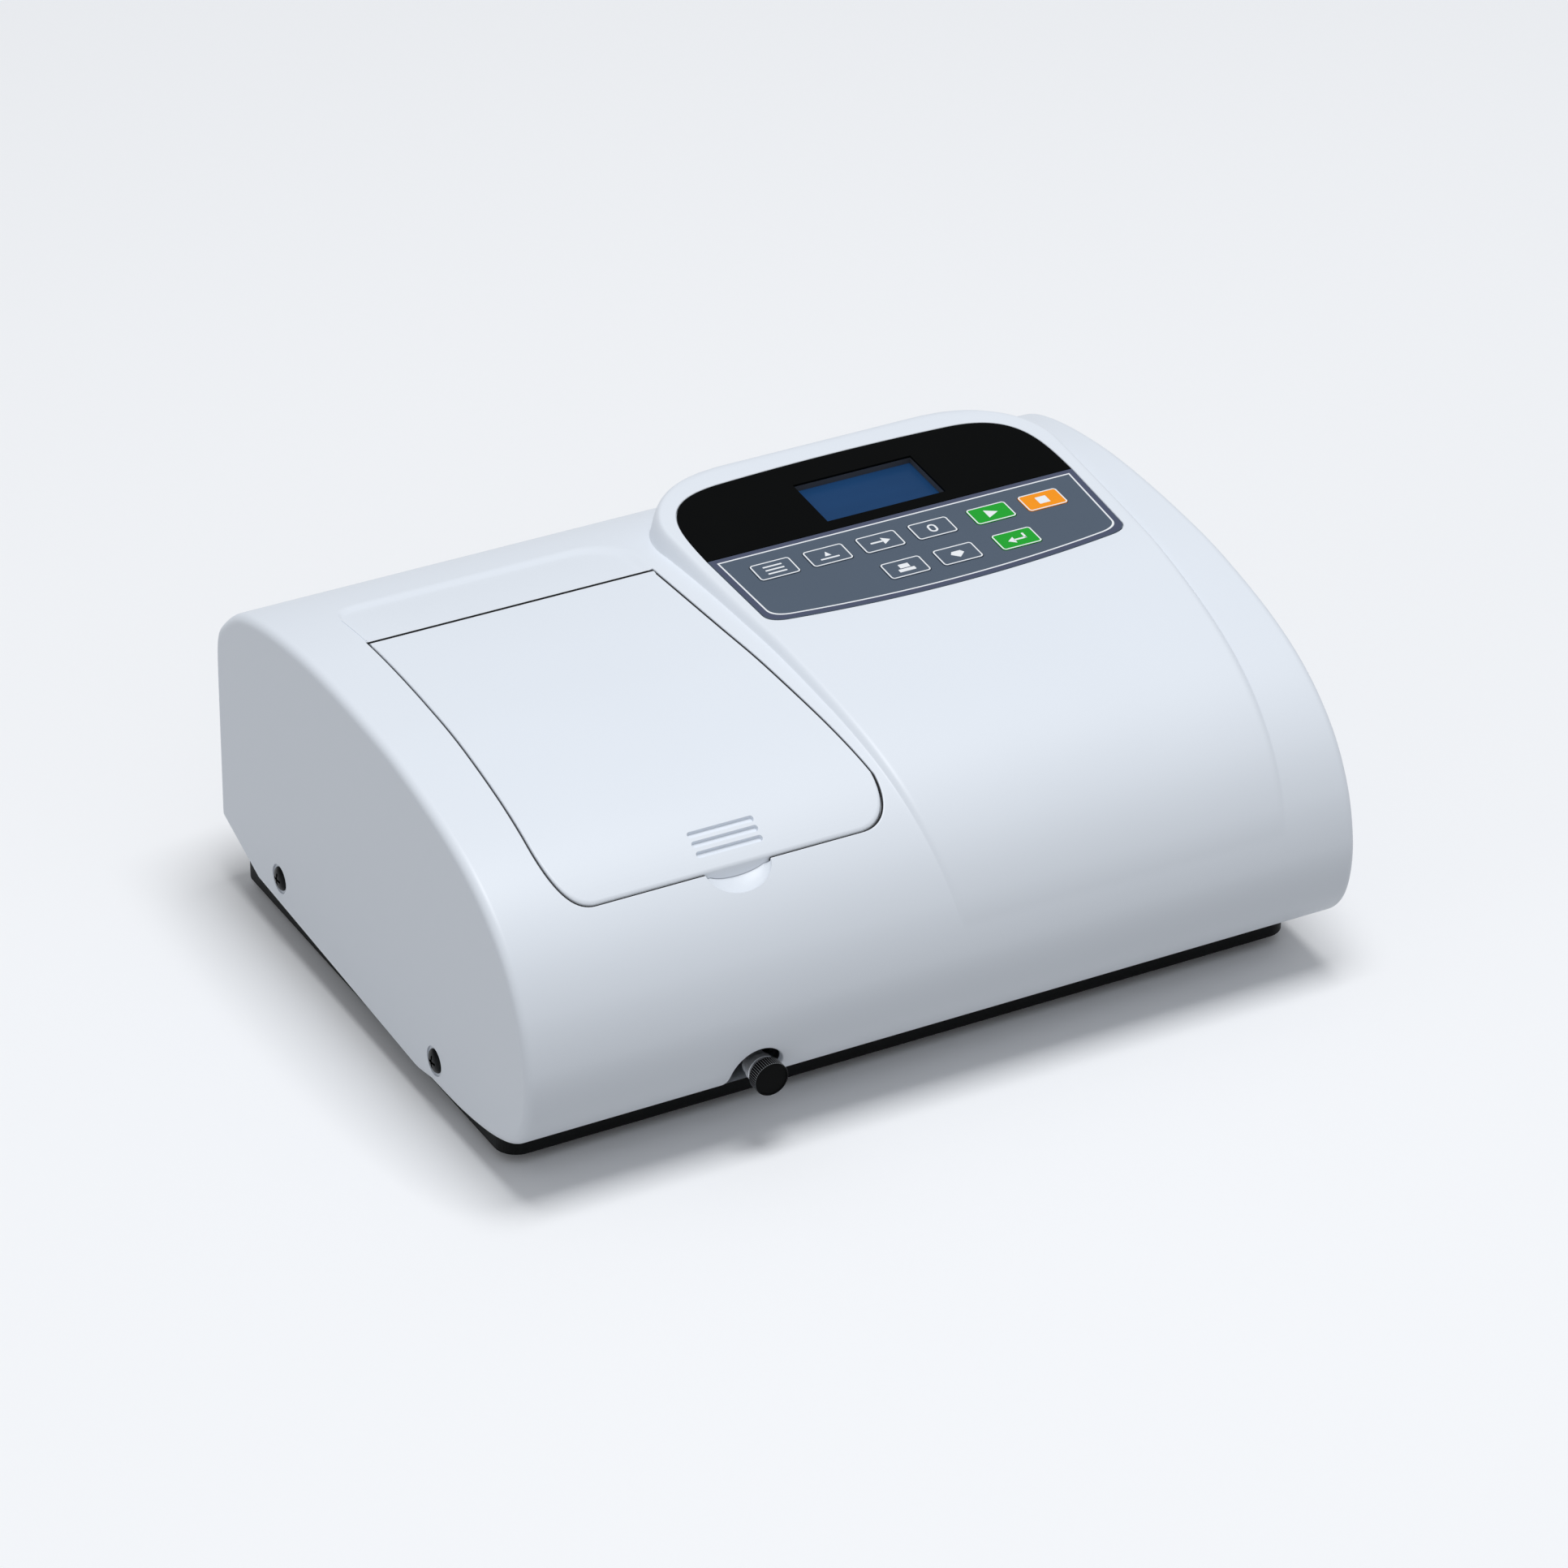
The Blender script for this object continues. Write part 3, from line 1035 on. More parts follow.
def scoop_ball(form, wall):
    """The ellipsoid that hollows the finger scoop, centred on the skin under the lid's front edge."""
    angle = np.radians(np.linspace(1, 179, 40))
    points, faces = turned(np.stack([np.sin(angle), -np.cos(angle)], 1), 64)
    points = points * (np.array(SCOOP) + wall) + (sum(GRIP_X) / 2, 0, 0)
    return form.against_skin(points, LID["front"]), faces


def notch_cutter(form):
    """The arch for the pull rod: a round top with straight sides down to a sill, wider at the skin through a
    small rounding that follows the bulge."""
    def ring(grow, behind=0.0, y=None):
        radius = NOTCH + grow
        left, right = NOTCH_X - radius, NOTCH_X + radius
        corners = [(left, NOTCH_Z), (left, NOTCH_SILL), (right, NOTCH_SILL), (right, NOTCH_Z)]
        flat = np.concatenate([arc((NOTCH_X, NOTCH_Z), radius, 0, 180, 48),
                               path(*((side, 10) for side in zip(corners, corners[1:])))])
        y = form.y_of_z(flat[:, 1]) + behind if y is None else np.full(len(flat), y)
        return np.column_stack([flat[:, 0], y, flat[:, 1]])
    edge = NOTCH_ROUNDING
    rounding = [ring(edge * (1 - math.cos(a)), edge * (1 - math.sin(a))) for a in np.radians([90, 60, 30, 0])]
    return loft([ring(edge, y=NOTCH_START), *rounding, ring(0, y=BASE_FRONT)])


def hollow_shell(form):
    """The cover's skin, cut below the line of its sides and hollowed."""
    shell = solid(form, "cover_shell", cover_skin(form))
    start = PROFILE_SHARES[0] * (form.depth, form.height)
    flat, rear = (np.array(share) * (form.depth, form.height) for share in SIDE_EDGE_SHARES)
    beyond = rear + (rear - flat) / np.linalg.norm(rear - flat) * OVERRUN
    below = np.array([start, (start[0], LOW_END), (beyond[0], LOW_END), beyond, flat])
    reach = form.half + OVERRUN
    combine(shell, form, sideways(below, -reach, reach))
    return combine(shell, form, cover_skin(form, form.wall))


def lid_ledge(form):
    """The rib under the lid's edge: a layer under the skin, within the lid's outline grown by its seat."""
    x0, x1 = LEDGE_X
    ledge = solid(form, "ledge", under(form, RIB_TOP, x0, x1))
    combine(ledge, form, under(form, LID_LEDGE, x0 - OVERRUN, x1 + OVERRUN, 3))
    return combine(ledge, form, upright(lid_outline(LID_SEAT), LOW_END, 2 * form.height), "INTERSECT")


def hinge_shelf(form, clearance):
    """The block under the lid's barrel, with a round ear at each end for the hinge pins."""
    y, z, reach = form.hinge_y, form.hinge_z, BARREL + form.wall
    shelf = solid(form, "shelf", block(*EARS_X, y - reach, y + reach, z - BARREL - clearance - form.wall, z))
    for x0, x1 in ((EARS_X[0], TROUGH_X[0]), (TROUGH_X[1], EARS_X[1])):
        combine(shelf, form, bar("x", reach, x0, x1, y, z), "UNION")
    return combine(shelf, form, under(form, RIB_TOP, *LEDGE_X), "INTERSECT")


def sink_scoop(form, cover):
    """Adds the scoop's bowl under the skin, and hollows it."""
    inner = form.half - form.wall
    bowl = solid(form, "bowl", scoop_ball(form, SCOOP_WALL))
    combine(bowl, form, under(form, RIB_TOP, -inner, inner), "INTERSECT")
    combine(cover, form, bowl, "UNION")
    combine(cover, form, scoop_ball(form, 0))


def sink_lid_seat(form, cover, settings):
    """Sinks the lid's seat into the skin, opens the chamber under it, and cuts the trough for the lid's
    barrel and the bore for its pins."""
    clearance = settings.lid_clearance / MM
    x0, x1 = LEDGE_X
    y, z = form.hinge_y, form.hinge_z
    seat = solid(form, "seat", seam_cutter(form, lid_outline, clearance, settings.seam_rounding / MM))
    combine(seat, form, under(form, settings.lid_thickness / MM + GAP, x0 - OVERRUN, x1 + OVERRUN))
    combine(cover, form, seat)
    combine(cover, form, upright(chamber_outline(0), form.height / 2, 2 * form.height))
    combine(cover, form, bar("x", BARREL + clearance, *TROUGH_X, y, z))
    combine(cover, form, bar("x", PIN + GAP / 2, EARS_X[0] - OVERRUN, EARS_X[1] + OVERRUN, y, z))


def sink_recess(form, cover):
    """Sinks the shallow field behind the lid, and lays a thin bead along its left side."""
    combine(cover, form, recess_cutter(form))
    wide, tall = RECESS_BEAD
    bead = solid(form, "bead", under(form, -tall, LID["left"] - wide, LID["left"] - BEAD_INSET))
    combine(bead, form, under(form, BEAD_ROOT, -form.half, form.half))
    front, rear = LID["rear"] + BEAD_START, LID["rear"] + RECESS_LENGTH - RECESS_TURN
    combine(bead, form, block(-form.half, form.half, front, rear, 0, 2 * form.height), "INTERSECT")
    combine(cover, form, bead, "UNION")


def sink_panel(form, cover):
    """Backs the panel with a thicker wall, and cuts its pocket, the display's window and nine key holes."""
    backing = ((BACKING_MARGIN, -BACKING), (BACKING_MARGIN, -POCKET / 2))
    combine(cover, form, panel_body(form, pocket_outline, backing), "UNION")
    combine(cover, form, panel_body(form, pocket_outline, POCKET_LEVELS))
    combine(cover, form, panel_body(form, window_outline, ((WINDOW_PLAY, -OVERRUN), (WINDOW_PLAY, OVERRUN))))
    hole = ((KEY_PLAY, -OVERRUN), (KEY_PLAY, OVERRUN))
    for place in key_places():
        combine(cover, form, panel_body(form, key_outline, hole, place))


def carriage_room(form):
    """Room in the belly for the cell carriage when it is pulled out."""
    low, high = box_mm("cell_carriage")
    room = CARRIAGE_ROOM
    return frame_block(form, low - (room, CARRIAGE_TRAVEL + room, 2 * room), high + (room, 0, 0))


def seat_side_screws(form, cover):
    """For each side screw adds a boss inside the wall and cuts a round seat and a bore."""
    half = form.half
    for side in (-1, 1):
        for y, z in SCREW_PLACES:
            boss = span(side, half - BASE_INSET + GAP, half - RIB_TOP)
            seat = span(side, half - SCREW_SEAT_DEPTH, half + OVERRUN)
            bore = span(side, half - SCREW_BORE_DEPTH, half + OVERRUN)
            combine(cover, form, bar("x", SCREW_BOSS, *boss, y, z), "UNION")
            combine(cover, form, bar("x", SCREW_SEAT, *seat, y, z, 64))
            combine(cover, form, bar("x", SCREW_BORE, *bore, y, z))


def make_cover(form, scene):
    """The moulded cover, from its hollow shell to the window at the back for the rear panel."""
    settings = scene.spectro_cover
    cover = hollow_shell(form)
    combine(cover, form, lid_ledge(form), "UNION")
    combine(cover, form, hinge_shelf(form, settings.lid_clearance / MM), "UNION")
    sink_scoop(form, cover)
    sink_lid_seat(form, cover, settings)
    sink_recess(form, cover)
    sink_panel(form, cover)
    combine(cover, form, notch_cutter(form))
    combine(cover, form, carriage_room(form))
    seat_side_screws(form, cover)
    x0, x1, top = REAR_WINDOW
    inner = form.depth - form.wall - GAP
    combine(cover, form, block(x0, x1, inner, form.depth + OVERRUN, LOW_END, top))
    return finish_piece(cover, "instrument", material("abs"), ["housing"])


# The lid.
def grip_groove(form, y):
    """One groove of the grip: a long rounded outline whose walls splay at the skin, leaned to its slope."""
    radius = GRIP_WIDTH / 2
    outline = rounded(*GRIP_X, -radius, radius, radius - 0.01, 8)
    centre, half = np.array([sum(GRIP_X) / 2, 0.0]), np.array([(GRIP_X[1] - GRIP_X[0]) / 2, radius])
    points, faces = layered(lambda grow: (outline - centre) * ((half + grow) / half) + centre, GRIP_LEVELS)
    return form.against_skin(points, y), faces


def make_lid(form, scene):
    """The lid: a layer under the skin inside the seam, with its hinge barrel, its lip over the scoop and the
    grooves of its grip."""
    settings = scene.spectro_cover
    thickness = settings.lid_thickness / MM
    x0, x1 = LID["left"] - OVERRUN, LID["right_front"] + OVERRUN
    y, z = form.hinge_y, form.hinge_z
    lid = solid(form, "lid_shell", under(form, 0.0, x0, x1))
    combine(lid, form, under(form, thickness, x0 - OVERRUN, x1 + OVERRUN))
    combine(lid, form, seam_cutter(form, lid_outline, 0.0, settings.lid_rounding / MM, -1), "INTERSECT")
    combine(lid, form, block(x0, x1, y, LID["rear"] + OVERRUN, z - BARREL, 2 * form.height))
    combine(lid, form, bar("x", BARREL, LID["left"], LID["right_rear"], y, z), "UNION")
    combine(lid, form, bar("x", PIN + GAP / 2, LID["left"] - OVERRUN, LID["right_rear"] + OVERRUN, y, z))
    lip = solid(form, "lip", scoop_ball(form, -LIP_INSET))
    front, rear = LID["front"] + LIP_PLAY, LID["front"] + LIP
    combine(lip, form, block(x0, x1, front, rear, 0, form.height), "INTERSECT")
    combine(lip, form, under(form, thickness / 2, x0, x1), "INTERSECT")
    combine(lid, form, lip, "UNION")
    for groove_y in GRIP_Y:
        combine(lid, form, grip_groove(form, groove_y))
    return finish_piece(lid, "lid", material("abs"), ["lid"])


def make_lid_seal(form, scene):
    """The dark light seal at the bottom of the seam: a ring between the lid's edge and the cover, a little
    under the skin, left out over the scoop. It has room for the lid, which leans back over its hinge when it
    is open."""
    outer, top = scene.spectro_cover.lid_clearance / MM + SEAL_OVERLAP, -SEAL_DROP
    corners = ((outer, top - SEAL_TALL), (outer, top), (SEAL_GAP, top), (SEAL_GAP, top - SEAL_TALL))
    rings = [form.on_skin(lid_outline(grow), over) for grow, over in corners]
    seal = solid(form, "lid_light_seal", loft(rings, closed=True))
    combine(seal, form, scoop_ball(form, 0))
    room = SEAL_GAP - SEAL_PLAY
    combine(seal, form, block(LID["left"] - room, LID["right_rear"] + room, form.hinge_y - BARREL,
                              LID["rear"] + SEAL_REAR, form.hinge_z - BARREL, 2 * form.height))
    finish_piece(seal, "instrument", material("rubber"))


# The console's panel.
def make_display(form, scene):
    """The black bezel with its thin bright edge, the dark frame in the window and the display cell."""
    bezel = solid(form, "display_bezel_panel", panel_body(form, bezel_outline, BEZEL_LEVELS))
    combine(bezel, form, panel_body(form, window_outline, WINDOW_LEVELS))
    finish_piece(bezel, "instrument", material("acrylic"), ["display_bezel"])
    cell, wall = layered(window_outline, CELL_LEVELS), strip(window_outline, *FRAME_WALL)
    piece(form, "display_cell", [cell], "instrument", material("display"), in_panel=True)
    piece(form, "display_frame", [wall], "instrument", material("frame"), in_panel=True)


def symbols():
    """Plain white pictograms for the nine keys, as outlines in millimetres round a key's middle. The fourth
    key has a ring of its own."""
    def slab(x0, x1, y0, y1, radius=0.3):
        return rounded(x0, x1, y0, y1, radius, 3)
    line = slab(-4.2, 4.2, -0.45, 0.45, 0.4)
    return [
        [line + (0, dy) for dy in (-2.4, 0.0, 2.4)],
        [slab(-4.2, 4.2, -2.5, -1.6, 0.4), np.array([(-1.4, -0.4), (1.4, -0.4), (0, 2.6)])],
        [slab(-4.4, 1.2, -0.5, 0.5, 0.4), np.array([(1.0, -2.4), (4.4, 0), (1.0, 2.4)])],
        [],
        [np.array([(-2.2, -2.8), (3.0, 0.0), (-2.2, 2.8)])],
        [slab(-2.4, 2.4, -2.4, 2.4)],
        [slab(-3.6, 3.6, -2.6, -0.6), slab(-2.2, 2.2, -0.1, 2.6, 0.2)],
        [np.array([(0.0, -2.5), (3.0, 0.2), (1.9, 1.9), (-1.9, 1.9), (-3.0, 0.2)])],
        [slab(-1.6, 4.2, -1.2, -0.2), slab(3.2, 4.2, -1.2, 2.6),
         np.array([(-4.2, -0.7), (-1.2, -2.9), (-1.2, 1.5)])],
    ]


def ring_outline(grow):
    """The fourth key's long ring, grown by a distance."""
    x, y = RING_SYMBOL["half_width"] + grow, RING_SYMBOL["half_depth"] + grow
    return rounded(-x, x, -y, y, x, 6)


def make_key(form, index, place, outlines, line):
    """One key: a cap with a rounded edge on a round stem, and its printed frame and pictogram."""
    look, slot = KEY_LOOKS.get(index, ("film", "keypad"))
    name = f"key_{index + 1}"
    cap = solid(form, f"{name}_cap", panel_body(form, key_outline, KEY_LEVELS, place))
    points, faces = bar("z", KEY_STEM, KEY_STEM_LOW, KEY_STEM_TOP, *place)
    combine(cap, form, (form.in_panel(points), faces), "UNION")
    finish_piece(cap, name, material(look), [name])
    prints = [strip(key_outline, PRINT_INSET, PRINT_INSET - line, PRINT_LOW, PRINT_TOP)]
    prints += [upright(outline * SYMBOL_SCALE, PRINT_LOW, PRINT_TOP) for outline in outlines]
    if index == RING_SYMBOL["key"]:
        prints.append(strip(ring_outline, 0.0, -RING_SYMBOL["stroke"], PRINT_LOW, PRINT_TOP))
    prints = [(points + (*place, 0), faces) for points, faces in prints]
    piece(form, f"{name}_print", prints, name, material("ink"), in_panel=True)


def make_keypad(form, scene):
    """The keypad film with its edge band and border line, and nine keys with outlines and pictograms."""
    line = scene.spectro_console.line_width / MM
    film = solid(form, "keypad_film", panel_body(form, keypad_outline, FILM_LEVELS))
    for place in key_places():
        combine(film, form, panel_body(form, key_outline, ((GAP, -OVERRUN), (GAP, OVERRUN)), place))
    finish_piece(film, "instrument", material("film"), ["keypad_overlay"])
    band = strip(keypad_outline, BAND_OUTER, BAND_INNER, INK_ROOT, BAND_TOP)
    border = strip(keypad_outline, BAND_INNER, BAND_INNER - line * BORDER_SHARE, INK_ROOT, BORDER_TOP)
    piece(form, "keypad_band", [band], "instrument", material("band"), in_panel=True)
    piece(form, "keypad_border_line", [border], "instrument", material("ink"), in_panel=True)
    for index, (place, outlines) in enumerate(zip(key_places(), symbols())):
        make_key(form, index, place, outlines, line)


# The pull rod and the screws.
def spun(profile, closed=True):
    """A body of revolution about the rod's axis: each (radius, place along it) becomes a ring."""
    turn = np.arange(ROD_SIDES) * 2 * math.pi / ROD_SIDES
    return loft([np.stack([ROD_X + r * np.cos(turn), np.full(ROD_SIDES, y), ROD_Z + r * np.sin(turn)], 1)
                 for r, y in profile], closed)


def ends_along_rod(form, node):
    """Front and rear of a CAD node in the cover's millimetres."""
    return [corner[1] - form.offset[1] for corner in box_mm(node)]


def make_pull_rod(form, scene):
    """The ribbed knob, the bright ring behind its cap, the collar and the rod. The knob's radius is drawn in
    by the depth of its ribs, except along their crests: a cosine round the knob, raised to a power."""
    radius, ribs = scene.spectro_base.knob_radius / MM, scene.spectro_base.knob_ribs
    face, end = ends_along_rod(form, "rod_knob")
    angle = np.linspace(0, 2 * math.pi, ribs * RIB_POINTS, endpoint=False)
    wave = 2 * ((1 + np.cos(angle * ribs)) / 2) ** RIB_POWER - 1
    rings = []
    for behind, share, depth in KNOB_LEVELS:
        r = radius * share - depth * (1 - wave) / 2
        y = np.full(len(angle), face + behind)
        rings.append(np.stack([ROD_X + r * np.cos(angle), y, ROD_Z + r * np.sin(angle)], 1))
    knob = solid(form, "pull_knob", loft(rings))
    combine(knob, form, bar("y", KNOB_BORE, face + KNOB_FACE, end + OVERRUN, ROD_X, ROD_Z))
    finish_piece(knob, "cell_slide", material("ribbed"), ["rod_knob"])

    start = face + KNOB_CAP + 0.05
    sleeve = spun([(COLLAR - 0.3, start), (COLLAR, start + 0.3), (COLLAR, end - 0.2), (COLLAR - 0.2, end),
                   (KNOB_BORE, end), (KNOB_BORE, start)])
    piece(form, "pull_knob_ring", [sleeve], "cell_slide", material("chrome"))
    y0, y1 = ends_along_rod(form, "rod_collar")
    flange = y0 + COLLAR_FLANGE
    collar = spun([(COLLAR - 0.2, y0), (COLLAR, y0 + 0.2), (COLLAR, flange - 0.6),
                   (COLLAR - 0.5, flange - 0.1), (COLLAR_NECK, flange), (COLLAR_NECK, y1 - 0.4),
                   (COLLAR_NECK - 0.4, y1), (KNOB_BORE, y1), (KNOB_BORE, y0)])
    piece(form, "pull_rod_collar", [collar], "cell_slide", material("chrome"), ["rod_collar"])
    y0, y1 = ends_along_rod(form, "pull_rod")
    rod = spun([(ROD_END, y0), (ROD, y0 + ROD_CHAMFER), (ROD, y1 - ROD_CHAMFER), (ROD_END, y1)], closed=False)
    piece(form, "pull_rod_bar", [rod], "cell_slide", material("ground"), ["pull_rod"])


def make_side_screws(form, scene):
    """Domed black screw heads with a cross slot, seated in the sides."""
    radius = scene.spectro_base.screw_radius / MM
    profile = [*dome(radius, SCREW_DOME, 86, 12), (radius - SCREW_RIM, 0.0), (SCREW_NECK, 0.0),
               (SCREW_NECK, SCREW_NECK_END)]
    points, faces = turned(profile)
    seat = form.half - SCREW_SEAT_DEPTH + GAP
    top = seat + SCREW_DOME
    for side, side_name in ((-1, "left"), (1, "right")):
        slot = span(side, top - SCREW_SLOT_DEPTH, top + SCREW_SLOT_CLEAR)
        for (y, z), row_name in zip(SCREW_PLACES, ("front", "rear")):
            name = f"side_screw_{side_name}_{row_name}"
            placed = np.stack([side * (points[:, 2] + seat), points[:, 1] + y, points[:, 0] * side + z], 1)
            head = solid(form, f"{name}_head", (placed, faces))
            for wide, tall in (SCREW_SLOT, SCREW_SLOT[::-1]):
                combine(head, form, block(*slot, y - wide, y + wide, z - tall, z + tall))
            finish_piece(head, "instrument", material("oxide"), [name])


# The back.
def rocker_mark(form, body, side):
    """A mark laid on one of the rocker's two faces, which form a shallow V about its pivot. At rest the
    rocker leans by its tilt."""
    points, faces = body
    low, high = box_mm("power_switch")
    half_face, half_reach = ROCKER["face"] / 2, ROCKER["reach"] / 2
    pivot = np.array([(low[0] + high[0]) / 2, box_mm("rear_panel")[1][1] - half_face, (low[2] + high[2]) / 2])
    lean = math.atan2(half_face, ROCKER["reach"])
    along, up, out = points.T
    x = along + side * half_reach - out * side * math.sin(lean)
    y = out * math.cos(lean) + half_face + half_reach * math.tan(lean) + along * side * math.tan(lean)
    turn = math.radians(-ROCKER["tilt"])
    c, s = math.cos(turn), math.sin(turn)
    placed = np.stack([x * c - y * s, x * s + y * c, up], 1) + pivot - form.offset
    return placed, [face[::-1] for face in faces]


def rocker_ring(grow):
    """The rocker's round mark, grown by a distance."""
    radius = ROCKER_RING + grow
    return rounded(-radius, radius, -radius, radius, radius - 0.01, 10)


def make_rear(form, scene):
    """Details of the back: bright sleeves on the inlet's three pins, the panel's screws, and a line and a
    ring on the two faces of the rocker."""
    wide, tall = INLET_PIN
    sleeves = [frame_block(form, np.array([x - wide, INLET_PIN_Y[0], z - tall]) - SKIN_OVER,
                           np.array([x + wide, INLET_PIN_Y[1], z + tall]) + SKIN_OVER) for x, z in INLET_PINS]
    piece(form, "inlet_pin_sleeves", sleeves, "instrument", material("turned"))

    radius, height = PANEL_SCREW
    points, faces = turned([*dome(radius, height, 90, 8), (radius - 0.2, 0.0)], 40)
    face = box_mm("rear_panel")[1][1] + 0.02
    heads = [(np.stack([points[:, 1] + x, points[:, 2] + face, points[:, 0] + z], 1) - form.offset, faces)
             for x, z in PANEL_SCREW_PLACES]
    screws = solid(form, "rear_panel_screws", merge(heads))
    front, rear = face + height - PANEL_SLOT_DEPTH, face + height + PANEL_SLOT_CLEAR
    for x, z in PANEL_SCREW_PLACES:
        for wide, tall in (PANEL_SLOT, PANEL_SLOT[::-1]):
            combine(screws, form, frame_block(form, np.array([x - wide, front, z - tall]),
                                              np.array([x + wide, rear, z + tall])))
    finish_piece(screws, "instrument", material("turned"))

    x, y, corner = ROCKER_LINE
    line = upright(rounded(-x, x, -y, y, corner, 4), INK_ROOT, ROCKER_INK_TOP)
    ring = strip(rocker_ring, 0.0, -ROCKER_STROKE, INK_ROOT, ROCKER_INK_TOP)
    marks = [rocker_mark(form, line, -1), rocker_mark(form, ring, 1)]
    piece(form, "rocker_marks", marks, "rocker", material("ink"))


REPAINT = {
    "powder": ["base_tray", "rear_panel"],
    "rubber": ["foot_front_left", "foot_rear_left", "foot_front_right", "foot_rear_right"],
    "flat": ["sample_compartment", "monochromator_case", "monochromator_cover"],
    "anodised": ["cell_carriage"],
    "ground": ["lid_hinge_pin", "guide_rail", "rod_bushing", "photodiode", "exit_slit", "entrance_slit",
               "wavelength_motor", "filter_motor"],
    "cast": ["optical_bench", "detector_housing", "grating_table", "filter_wheel", "lamp_house",
             "power_supply"],
    "mirror": ["collimating_mirror", "camera_mirror", "grating", "source_mirror"],
    "quartz": ["compartment_window_left", "compartment_window_right", "deuterium_lamp", "tungsten_lamp"],
    "board": ["key_board", "main_board"],
    "frame": ["lcd_module"],
    "nylon": ["fan_frame", "fan_rotor", "power_inlet", "power_switch", "power_rocker"],
}


def repaint():
    """Gives each CAD node that stays its own procedural material."""
    for name, nodes in REPAINT.items():
        for node in nodes:
            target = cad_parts[node]
            target.data.materials.clear()
            target.data.materials.append(material(name))


# The studio.
def make_light(scene, name, place, sides, power):
    """A softbox, a rectangle of light aimed at the middle of the stage."""
    data = bpy.data.lights.new(name, "AREA")
    data.shape = "RECTANGLE"
    data.size, data.size_y = sides
    data.energy, data.color = power, LIGHT_TINT
    lamp = bpy.data.objects.new(name, data)
    lamp.location = place
    lamp.rotation_euler = (Vector(LIGHT_AIM) - Vector(place)).to_track_quat("-Z", "Y").to_euler()
    scene.collection.objects.link(lamp)


def make_camera(scene, settings):
    """The camera: it looks along its azimuth and elevation, and is then rolled about that direction."""
    data = bpy.data.cameras.new("camera")
    data.lens, data.sensor_width, data.sensor_fit = settings.lens, SENSOR_WIDTH, "HORIZONTAL"
    data.clip_end = CAMERA_REACH
    a, e, r = settings.azimuth, settings.elevation, settings.roll
    forward = Vector((math.sin(a) * math.cos(e), math.cos(a) * math.cos(e), -math.sin(e)))
    right = Vector((math.cos(a), -math.sin(a), 0))
    up = right.cross(forward)
    right, up = right * math.cos(r) + up * math.sin(r), up * math.cos(r) - right * math.sin(r)
    turn = Matrix((right, up, -forward)).transposed().to_4x4()
    camera = bpy.data.objects.new("camera", data)
    camera.matrix_world = Matrix.Translation(Vector(settings.place)) @ turn
    scene.collection.objects.link(camera)
    scene.camera = camera


def make_stage(scene):
    """A wide pale floor that throws no light back, two soft lights and the camera at the photograph's
    angle."""
    settings = scene.spectro_stage
    reach = FLOOR_REACH
    corners = np.array([(-reach, -reach, 0), (reach, -reach, 0), (reach, reach, 0), (-reach, reach, 0)])
    floor = to_object("floor", corners, [[0, 1, 2, 3]])
    made, tree, shader, place = new_material("studio_floor", {"Roughness": 0.9})
    slow = add(tree, "ShaderNodeTexNoise", {"Vector": place, "Scale": 1.2})
    drift = add(tree, "ShaderNodeMix", {0: slow.outputs["Fac"], MIX_A: toned(settings.floor, 0.99),
                                        MIX_B: toned(settings.floor, 1.01)}, data_type="RGBA")
    tree.links.new(drift.outputs[MIX_COLOUR], shader.inputs["Base Color"])
    floor.data.materials.append(made)
    floor.visible_diffuse = False

    make_light(scene, "overhead_softbox", (0.1, -0.6, 5.2), (2.4, 2.0), settings.key_light)
    make_light(scene, "left_softbox", (-3.0, -0.6, 0.9), (1.6, 1.6), settings.fill_light)
    world = bpy.data.worlds.new("studio")
    world.use_nodes = True
    background = world.node_tree.nodes["Background"].inputs
    background["Color"].default_value = WORLD_COLOUR
    background["Strength"].default_value = WORLD_STRENGTH
    scene.world = world
    scene.view_settings.view_transform = "Standard"
    scene.view_settings.look = "None"
    make_camera(scene, settings)


# Operators.
class SPECTRO_OT_cover(bpy.types.Operator):
    """Build the moulded cover with its console, recess, scoop and notch."""

    bl_idname = "spectro.cover"
    bl_label = "Cover"

    def execute(self, context):
        make_cover(Form(context.scene), context.scene)
        return {"FINISHED"}


class SPECTRO_OT_lid(bpy.types.Operator):
    """Build the hinged lid with its grip grooves, and the light seal round it."""

    bl_idname = "spectro.lid"
    bl_label = "Lid"

    def execute(self, context):
        make_lid(Form(context.scene), context.scene)
        make_lid_seal(Form(context.scene), context.scene)
        return {"FINISHED"}


class SPECTRO_OT_display(bpy.types.Operator):
    """Build the display bezel, its frame and the display cell."""

    bl_idname = "spectro.display"
    bl_label = "Display"

    def execute(self, context):
        make_display(Form(context.scene), context.scene)
        return {"FINISHED"}


class SPECTRO_OT_keypad(bpy.types.Operator):
    """Build the keypad film and its nine keys."""

    bl_idname = "spectro.keypad"
    bl_label = "Keypad"

    def execute(self, context):
        make_keypad(Form(context.scene), context.scene)
        return {"FINISHED"}


class SPECTRO_OT_pull_rod(bpy.types.Operator):
    """Build the pull rod with its collar and knob."""

    bl_idname = "spectro.pull_rod"
    bl_label = "Pull rod"

    def execute(self, context):
        make_pull_rod(Form(context.scene), context.scene)
        return {"FINISHED"}


class SPECTRO_OT_side_screws(bpy.types.Operator):
    """Build the four domed screws in the sides."""

    bl_idname = "spectro.side_screws"
    bl_label = "Side screws"

    def execute(self, context):
        make_side_screws(Form(context.scene), context.scene)
        return {"FINISHED"}


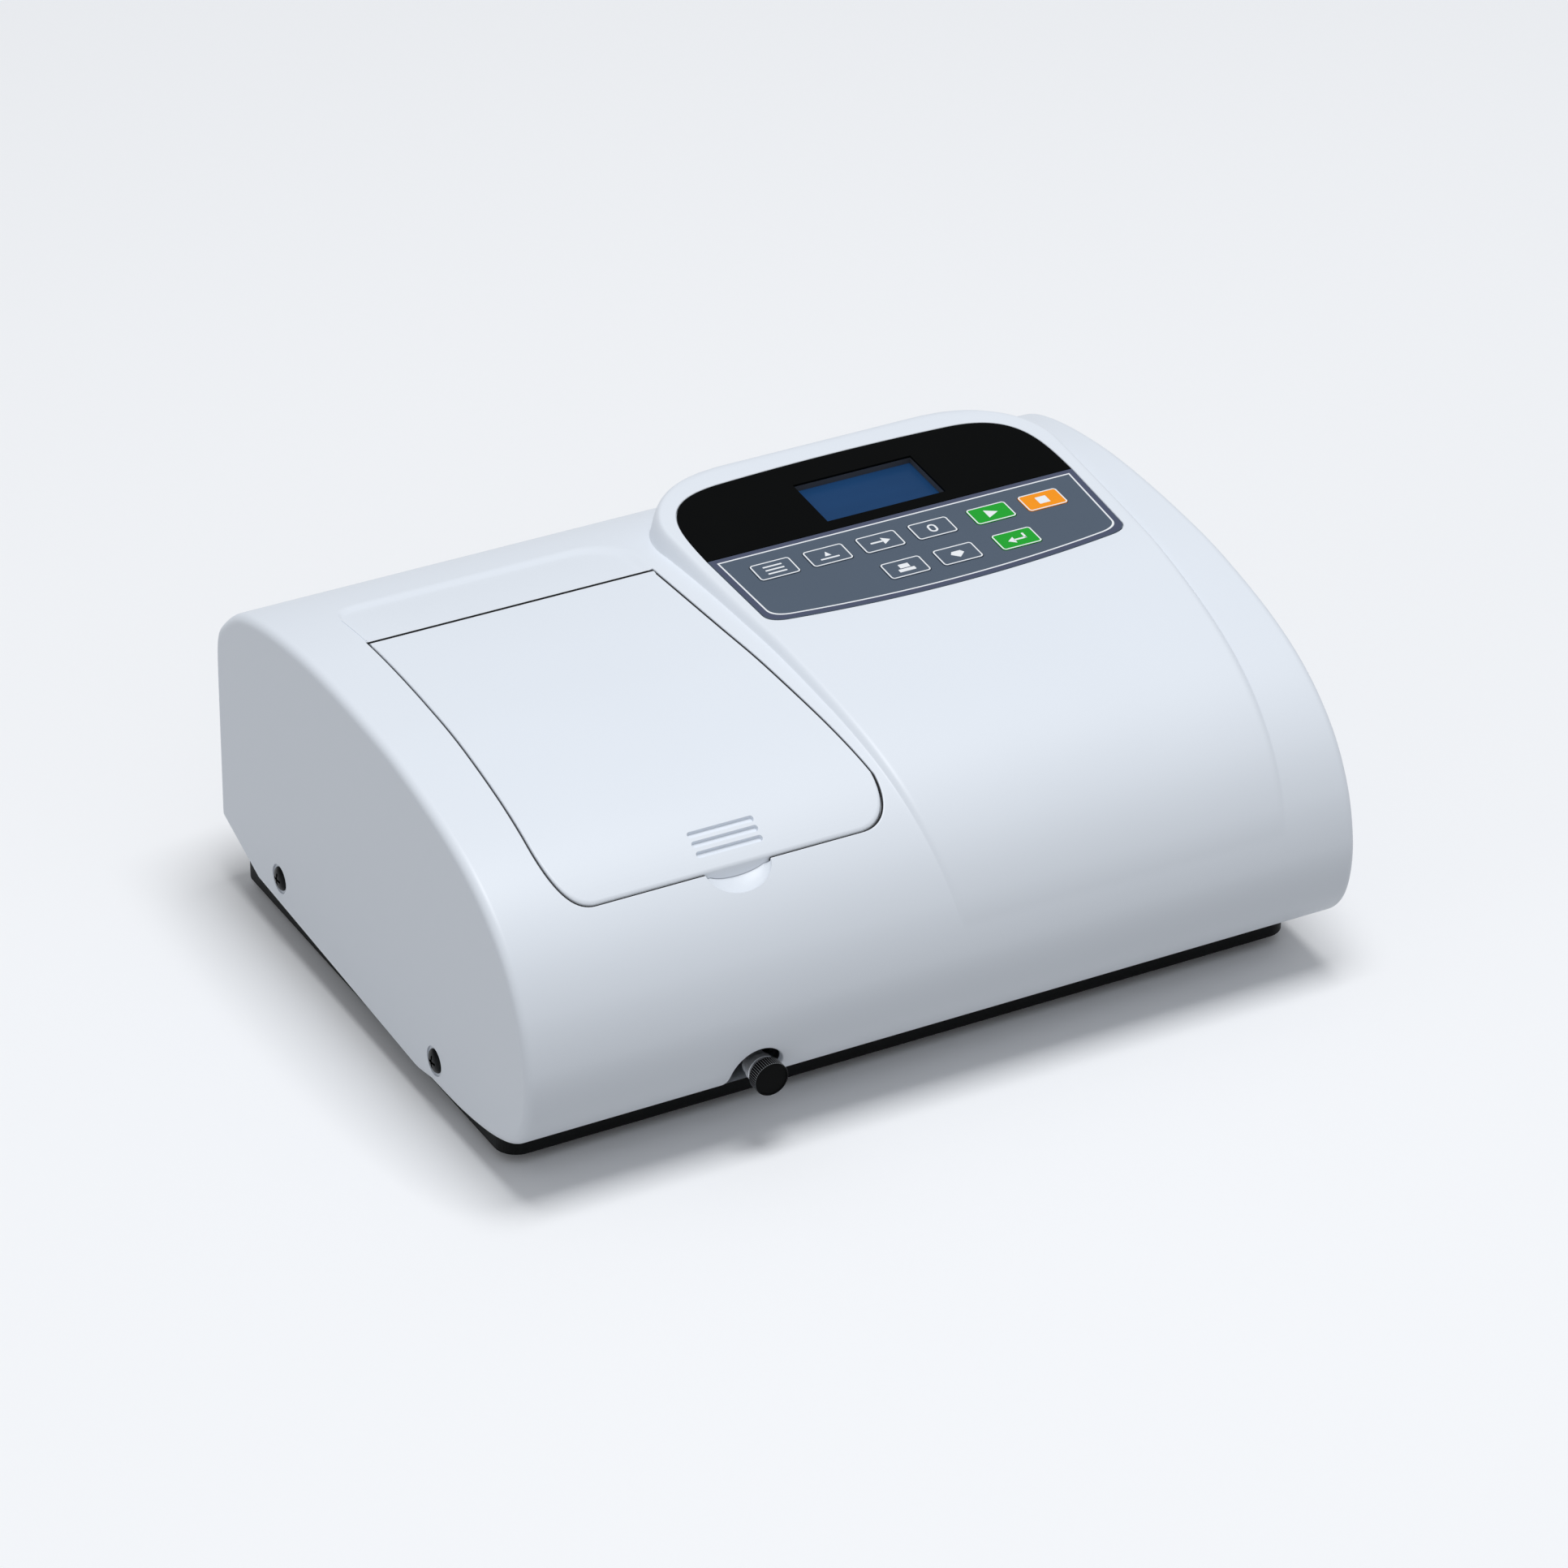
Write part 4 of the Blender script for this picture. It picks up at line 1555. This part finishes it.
class SPECTRO_OT_rear(bpy.types.Operator):
    """Build the inlet's pins, the rear panel's screws and the rocker's marks."""

    bl_idname = "spectro.rear"
    bl_label = "Rear details"

    def execute(self, context):
        make_rear(Form(context.scene), context.scene)
        return {"FINISHED"}


class SPECTRO_OT_repaint(bpy.types.Operator):
    """Give the nodes that stay their finishes."""

    bl_idname = "spectro.repaint"
    bl_label = "Finishes"

    def execute(self, context):
        repaint()
        return {"FINISHED"}


class SPECTRO_OT_stage(bpy.types.Operator):
    """Set up the floor, the lights and the camera."""

    bl_idname = "spectro.stage"
    bl_label = "Stage"

    def execute(self, context):
        make_stage(context.scene)
        return {"FINISHED"}


SETTINGS = {"spectro_cover": CoverSettings, "spectro_console": ConsoleSettings, "spectro_base": BaseSettings,
            "spectro_stage": StageSettings}
OPERATORS = (SPECTRO_OT_stage, SPECTRO_OT_cover, SPECTRO_OT_lid, SPECTRO_OT_display, SPECTRO_OT_keypad,
             SPECTRO_OT_pull_rod, SPECTRO_OT_side_screws, SPECTRO_OT_rear, SPECTRO_OT_repaint)


class SPECTRO_PT_build(bpy.types.Panel):
    """Lists the settings and the build steps."""

    bl_label = "Spectrophotometer"
    bl_idname = "SPECTRO_PT_build"
    bl_space_type = "VIEW_3D"
    bl_region_type = "UI"
    bl_category = "Spectrophotometer"

    def draw(self, context):
        for name, group in SETTINGS.items():
            column = self.layout.column()
            for prop in group.__annotations__:
                column.prop(getattr(context.scene, name), prop)
        for operator in OPERATORS:
            self.layout.operator(operator.bl_idname)


def register():
    """Registers the settings, the build steps and the panel."""
    for group in (*SETTINGS.values(), *OPERATORS, SPECTRO_PT_build):
        bpy.utils.register_class(group)
    for name, group in SETTINGS.items():
        setattr(bpy.types.Scene, name, bpy.props.PointerProperty(type=group))


def unregister():
    """Takes back what register did."""
    for name in SETTINGS:
        delattr(bpy.types.Scene, name)
    for group in (SPECTRO_PT_build, *reversed(OPERATORS), *reversed(tuple(SETTINGS.values()))):
        bpy.utils.unregister_class(group)


def main():
    register()
    for operator in OPERATORS:
        family, name = operator.bl_idname.split(".")
        getattr(getattr(bpy.ops, family), name)()


if __name__ == "__main__":
    main()
